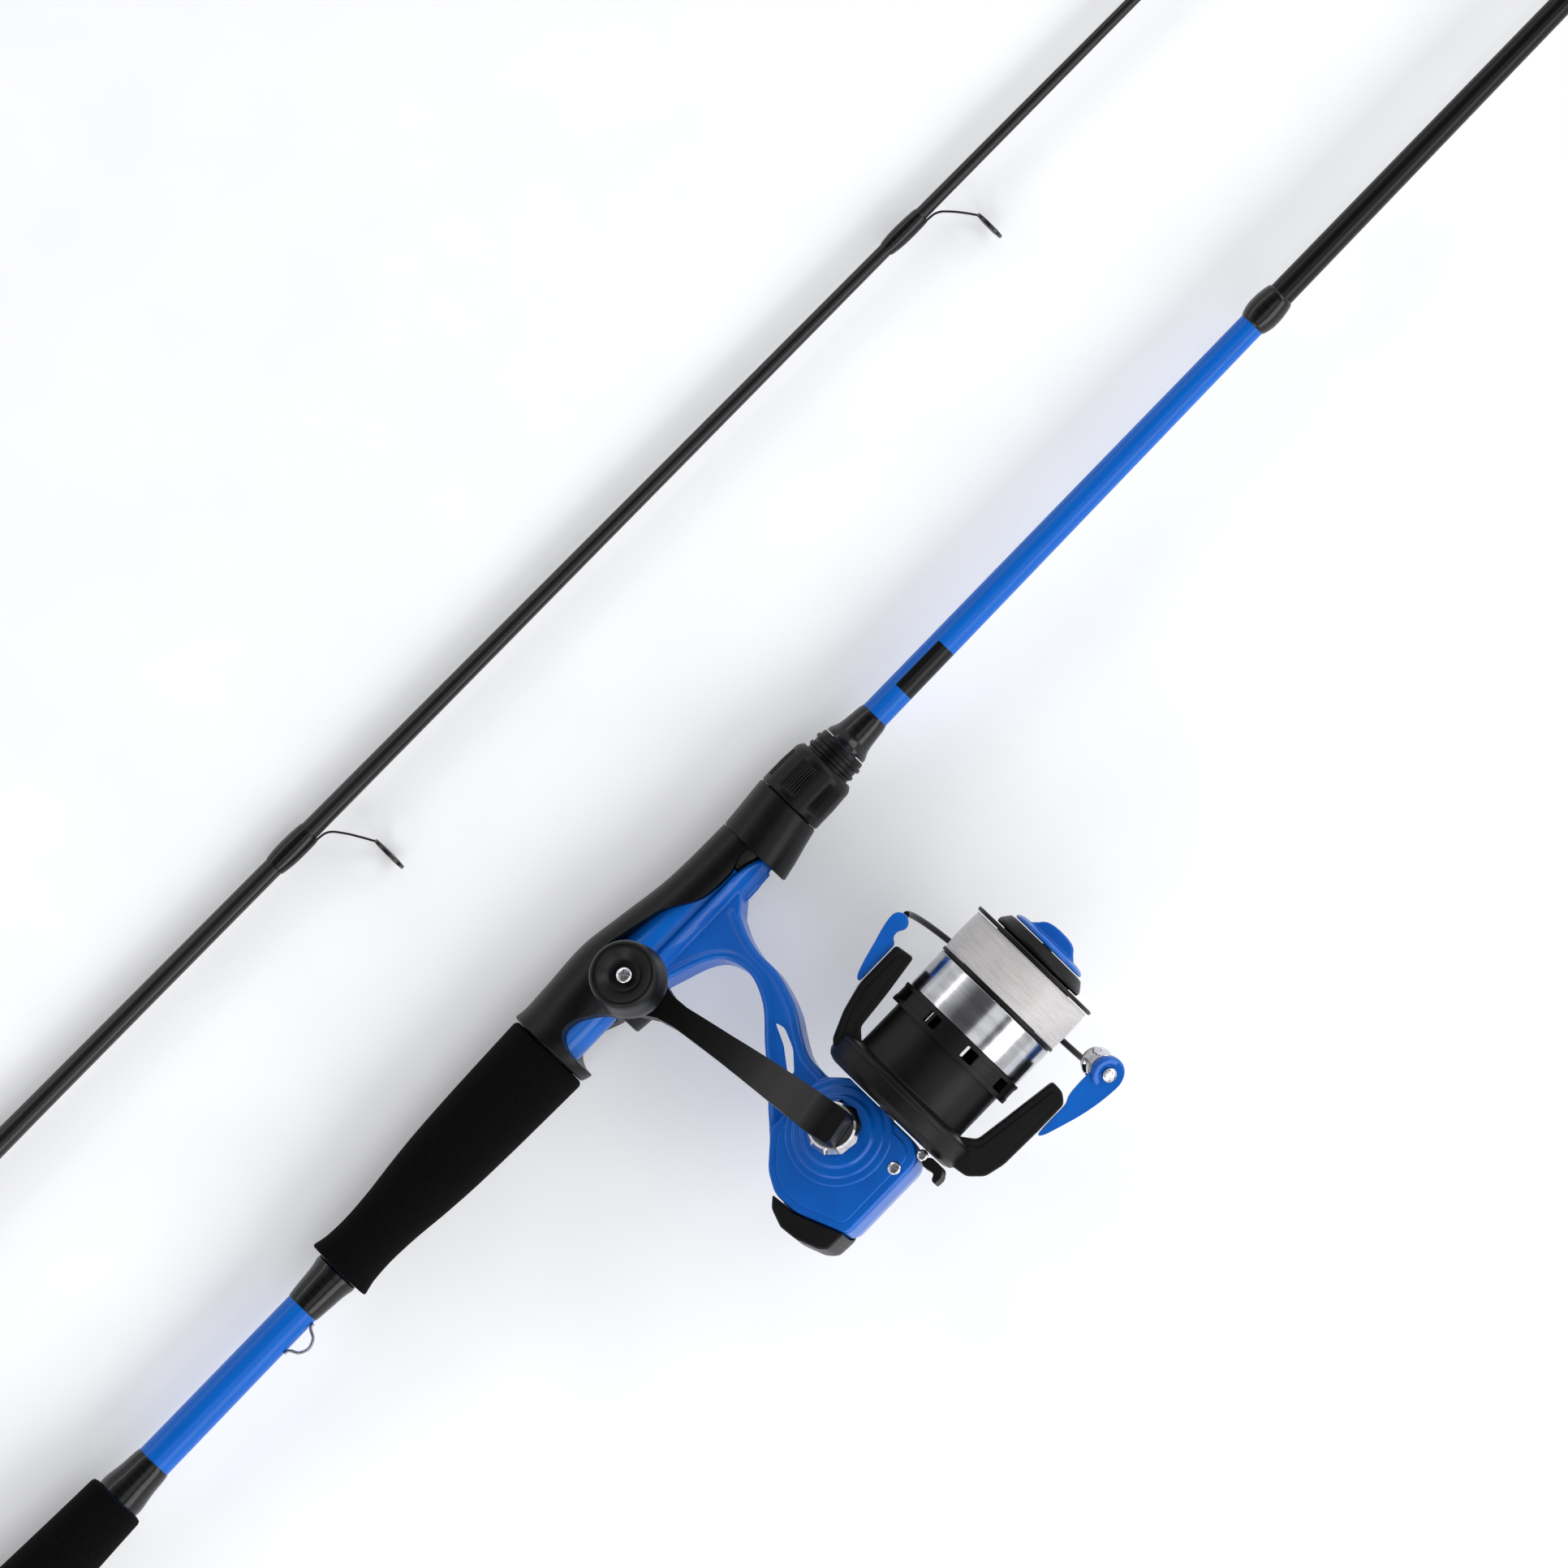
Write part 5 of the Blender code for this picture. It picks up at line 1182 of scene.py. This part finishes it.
def build_spool():
    rear, skirt, skirt_end, band_end = 41.0, 23.5, 48.0, 62.6
    lip_rear, lip_end, lip = 78.8, 80.1, 23.75
    inner = DRUM + 0.4
    outer = [
        (rear, skirt), (43.0, skirt), (43.0, skirt - 0.25), (46.6, skirt - 0.25), (46.6, skirt),
        (skirt_end, skirt), (skirt_end, inner + 0.6), (band_end, inner + 0.6), (band_end, 23.0),
        (band_end + 1.2, 23.0), (band_end + 1.2, 15.0), (lip_rear, 15.0), (lip_rear, lip - 0.2),
        (lip_end - 0.3, lip), (lip_end, lip - 0.5), (lip_end, 14.0), (74.0, 14.0), (74.0, 2.0),
        (59.0, 2.0), (59.0, 19.5), (56.5, inner), (rear, inner),
    ]
    body = lathe("spool", softened(outer, 0.25, 2, closed=True), 144, loop=True)
    count = 9
    windows = []
    for i in range(count):
        turn = math.radians(13.9) + 2 * math.pi * i / count
        outline = softened([(42.6, -2.5), (46.8, -2.5), (46.8, 2.5), (42.6, 2.5)], 0.4, 3,
            closed=True)
        windows.append(placed(slab("window", outline, 20.5, 25.0), Matrix.Rotation(turn, 4, "X")))
    body = boolean(body, windows)
    piece("spool_anodised", body, "spool", ANODISED, SPIN, ("spool",), 35)
    band = softened(
        [(skirt_end + 0.3, inner + 0.7), (skirt_end + 0.3, 22.5), (49.0, 22.6), (61.9, 22.6),
         (band_end - 0.3, 22.4), (band_end - 0.3, inner + 0.7)],
        0.15, 2, closed=True)
    piece("spool_band_chromed", lathe("band", band, 144, loop=True), "spool", BAND, SPIN,
          ("spool_band",))
    first, last = band_end + 1.3, lip_rear - 0.2
    wound = []
    for x in np.arange(first, last, 0.15):
        share = (x - first) / (last - first)
        swell = 22.55 + 0.5 * math.sin(math.pi * share) ** 0.4
        wound.append((x, swell + 0.05 * math.sin(2 * math.pi * (x - first) / 0.6)))
    piece("line_winding_fine", sleeve("line", wound, 15.2, 144), "spool", LINE, SPIN,
          ("line_winding",), 80)


def build_drag_knob():
    disc = softened([(80.4, 13.6), (80.4, 16.5), (81.0, 16.9), (82.0, 16.8), (84.6, 14.8), (84.9,
        13.4),
                     (85.0, 2.0), (75.8, 2.0), (75.8, 13.6)], 0.3, 3, closed=True)
    piece("drag_knob_turned", lathe("disc", disc, 128, loop=True), "drag_knob",
          ANODISED, SPIN, ("drag_knob",))
    base = lathe("base", softened([(85.2, 12.9), (85.3, 13.7), (86.4, 13.4), (87.2, 11.4),
                                   (87.4, 9.0)], 0.5, 3), 128)
    bar = [(86.0, -8.3), (86.0, 8.3), (89.0, 7.2), (91.0, 4.8), (91.6, 0.0), (91.0, -4.8), (89.0,
        -7.2)]
    bar = rounded(slab("bar", smooth(bar, 5, closed=True), -7.2, 7.2), 2.2, 5, 40)
    grip = cast("grip", [base, bar], 0.3, 4)
    piece("drag_grip_painted", grip, "drag_knob", BLUE, SPIN, ("drag_grip",), 50)


# Inner pieces keep their shapes and take better surfaces


def dress(material, *names):
    """Gives a carried-over CAD piece its real surface."""
    for name in names:
        obj = frame["nodes"][name]
        obj.data.materials.clear()
        obj.data.materials.append(material)


# The set: a pale floor, soft studio light and the camera


VIEW_CENTRE = (-0.157, 0.0178)
VIEW_TURN = -46.0
VIEW_DISTANCE = 6.0
FRAME_WIDTH = 0.483
SENSOR_MM = 36.0
FLOOR_HALF = 2.0


def area_light(name, size, power, at, target):
    lamp = bpy.data.lights.new(name, "AREA")
    lamp.shape = "RECTANGLE"
    lamp.size, lamp.size_y = size
    lamp.energy = power
    made = bpy.data.objects.new(name, lamp)
    bpy.context.scene.collection.objects.link(made)
    made.location = at
    made.rotation_euler = (Vector(target) - Vector(at)).to_track_quat("-Z", "Y").to_euler()
    return made


def studio_world():
    """A pale room: bright round the horizon and dim overhead, so that flat tops don't wash out."""
    world = bpy.data.worlds.new("studio")
    world.use_nodes = True
    tree = world.node_tree
    where = node(tree, "ShaderNodeTexCoord")
    parts = node(tree, "ShaderNodeSeparateXYZ", {"Vector": where.outputs["Generated"]})
    horizon, overhead = (0.84, 0.84, 0.85, 1.0), (0.12, 0.12, 0.13, 1.0)
    sky = two_tones(tree, parts.outputs["Z"], horizon, overhead, 0.5, 0.85)
    background = tree.nodes["Background"]
    tree.links.new(sky, background.inputs["Color"])
    background.inputs["Strength"].default_value = 1.0
    return world


def build_set():
    paper, tree, shader = surface(
        "lit_white_paper", Roughness=0.9, Specular_IOR_Level=0.2, Emission_Color=(1, 1, 1, 1),
        Emission_Strength=0.12)
    grain = texture(tree, "ShaderNodeTexNoise", 1 / (40 * MM), 3.0)
    tinted(tree, shader, grain.outputs["Fac"], "#F4F5F7", "#F8F9FA")
    floor_mesh = bpy.data.meshes.new("floor")
    half = FLOOR_HALF
    corners = [(-half, -half, 0), (half, -half, 0), (half, half, 0), (-half, half, 0)]
    floor_mesh.from_pydata(corners, [], [(0, 1, 2, 3)])
    floor_mesh.materials.append(paper)
    floor = bpy.data.objects.new("floor", floor_mesh)
    bpy.context.scene.collection.objects.link(floor)
    floor.location.z = CAD_BOX[0].z - 0.0003
    bpy.context.scene.world = studio_world()
    centre = SPOOL_POINT
    # long soft boxes low along both sides of the rod, one beyond each end, and a dim one overhead
    lights = [
        area_light("far_side", (2.4, 0.3), 4.0, centre + Vector((0.1, 1.8, 0.8)), centre),
        area_light("near_side", (2.4, 0.9), 19.0, centre + Vector((0.1, -1.5, 1.1)), centre),
        area_light("tip_end", (1.0, 0.7), 6.0, centre + Vector((1.5, -0.4, 0.9)), centre),
        area_light("butt_end", (1.0, 0.7), 5.0, centre + Vector((-1.5, -0.4, 0.9)), centre),
        area_light("overhead", (2.4, 0.9), 7.0, centre + Vector((0.0, -0.55, 2.0)), centre),
    ]
    lens = bpy.data.cameras.new("camera")
    lens.sensor_width = SENSOR_MM
    lens.dof.use_dof = False
    lens.lens = SENSOR_MM * VIEW_DISTANCE / FRAME_WIDTH
    camera = bpy.data.objects.new("camera", lens)
    bpy.context.scene.collection.objects.link(camera)
    camera.location = (*VIEW_CENTRE, VIEW_DISTANCE + ROD_AXIS.z)
    camera.rotation_euler = (0, 0, math.radians(VIEW_TURN))
    bpy.context.scene.camera = camera
    bpy.context.scene.view_settings.view_transform = "Standard"


build_butt()
build_keeper()
build_stripper()
build_tip()
build_seat()
build_hood_and_nut()
build_body()
build_covers()
build_lever()
build_crank()
build_rotor()
build_bail()
build_spool()
build_drag_knob()
dress(STEEL, "main_shaft", "knob_spindle", "drag_washer")
dress(BRASS, "drive_gear", "pinion", "crosswind_block")
dress(NYLON, "oscillation_gear")
build_set()

import json
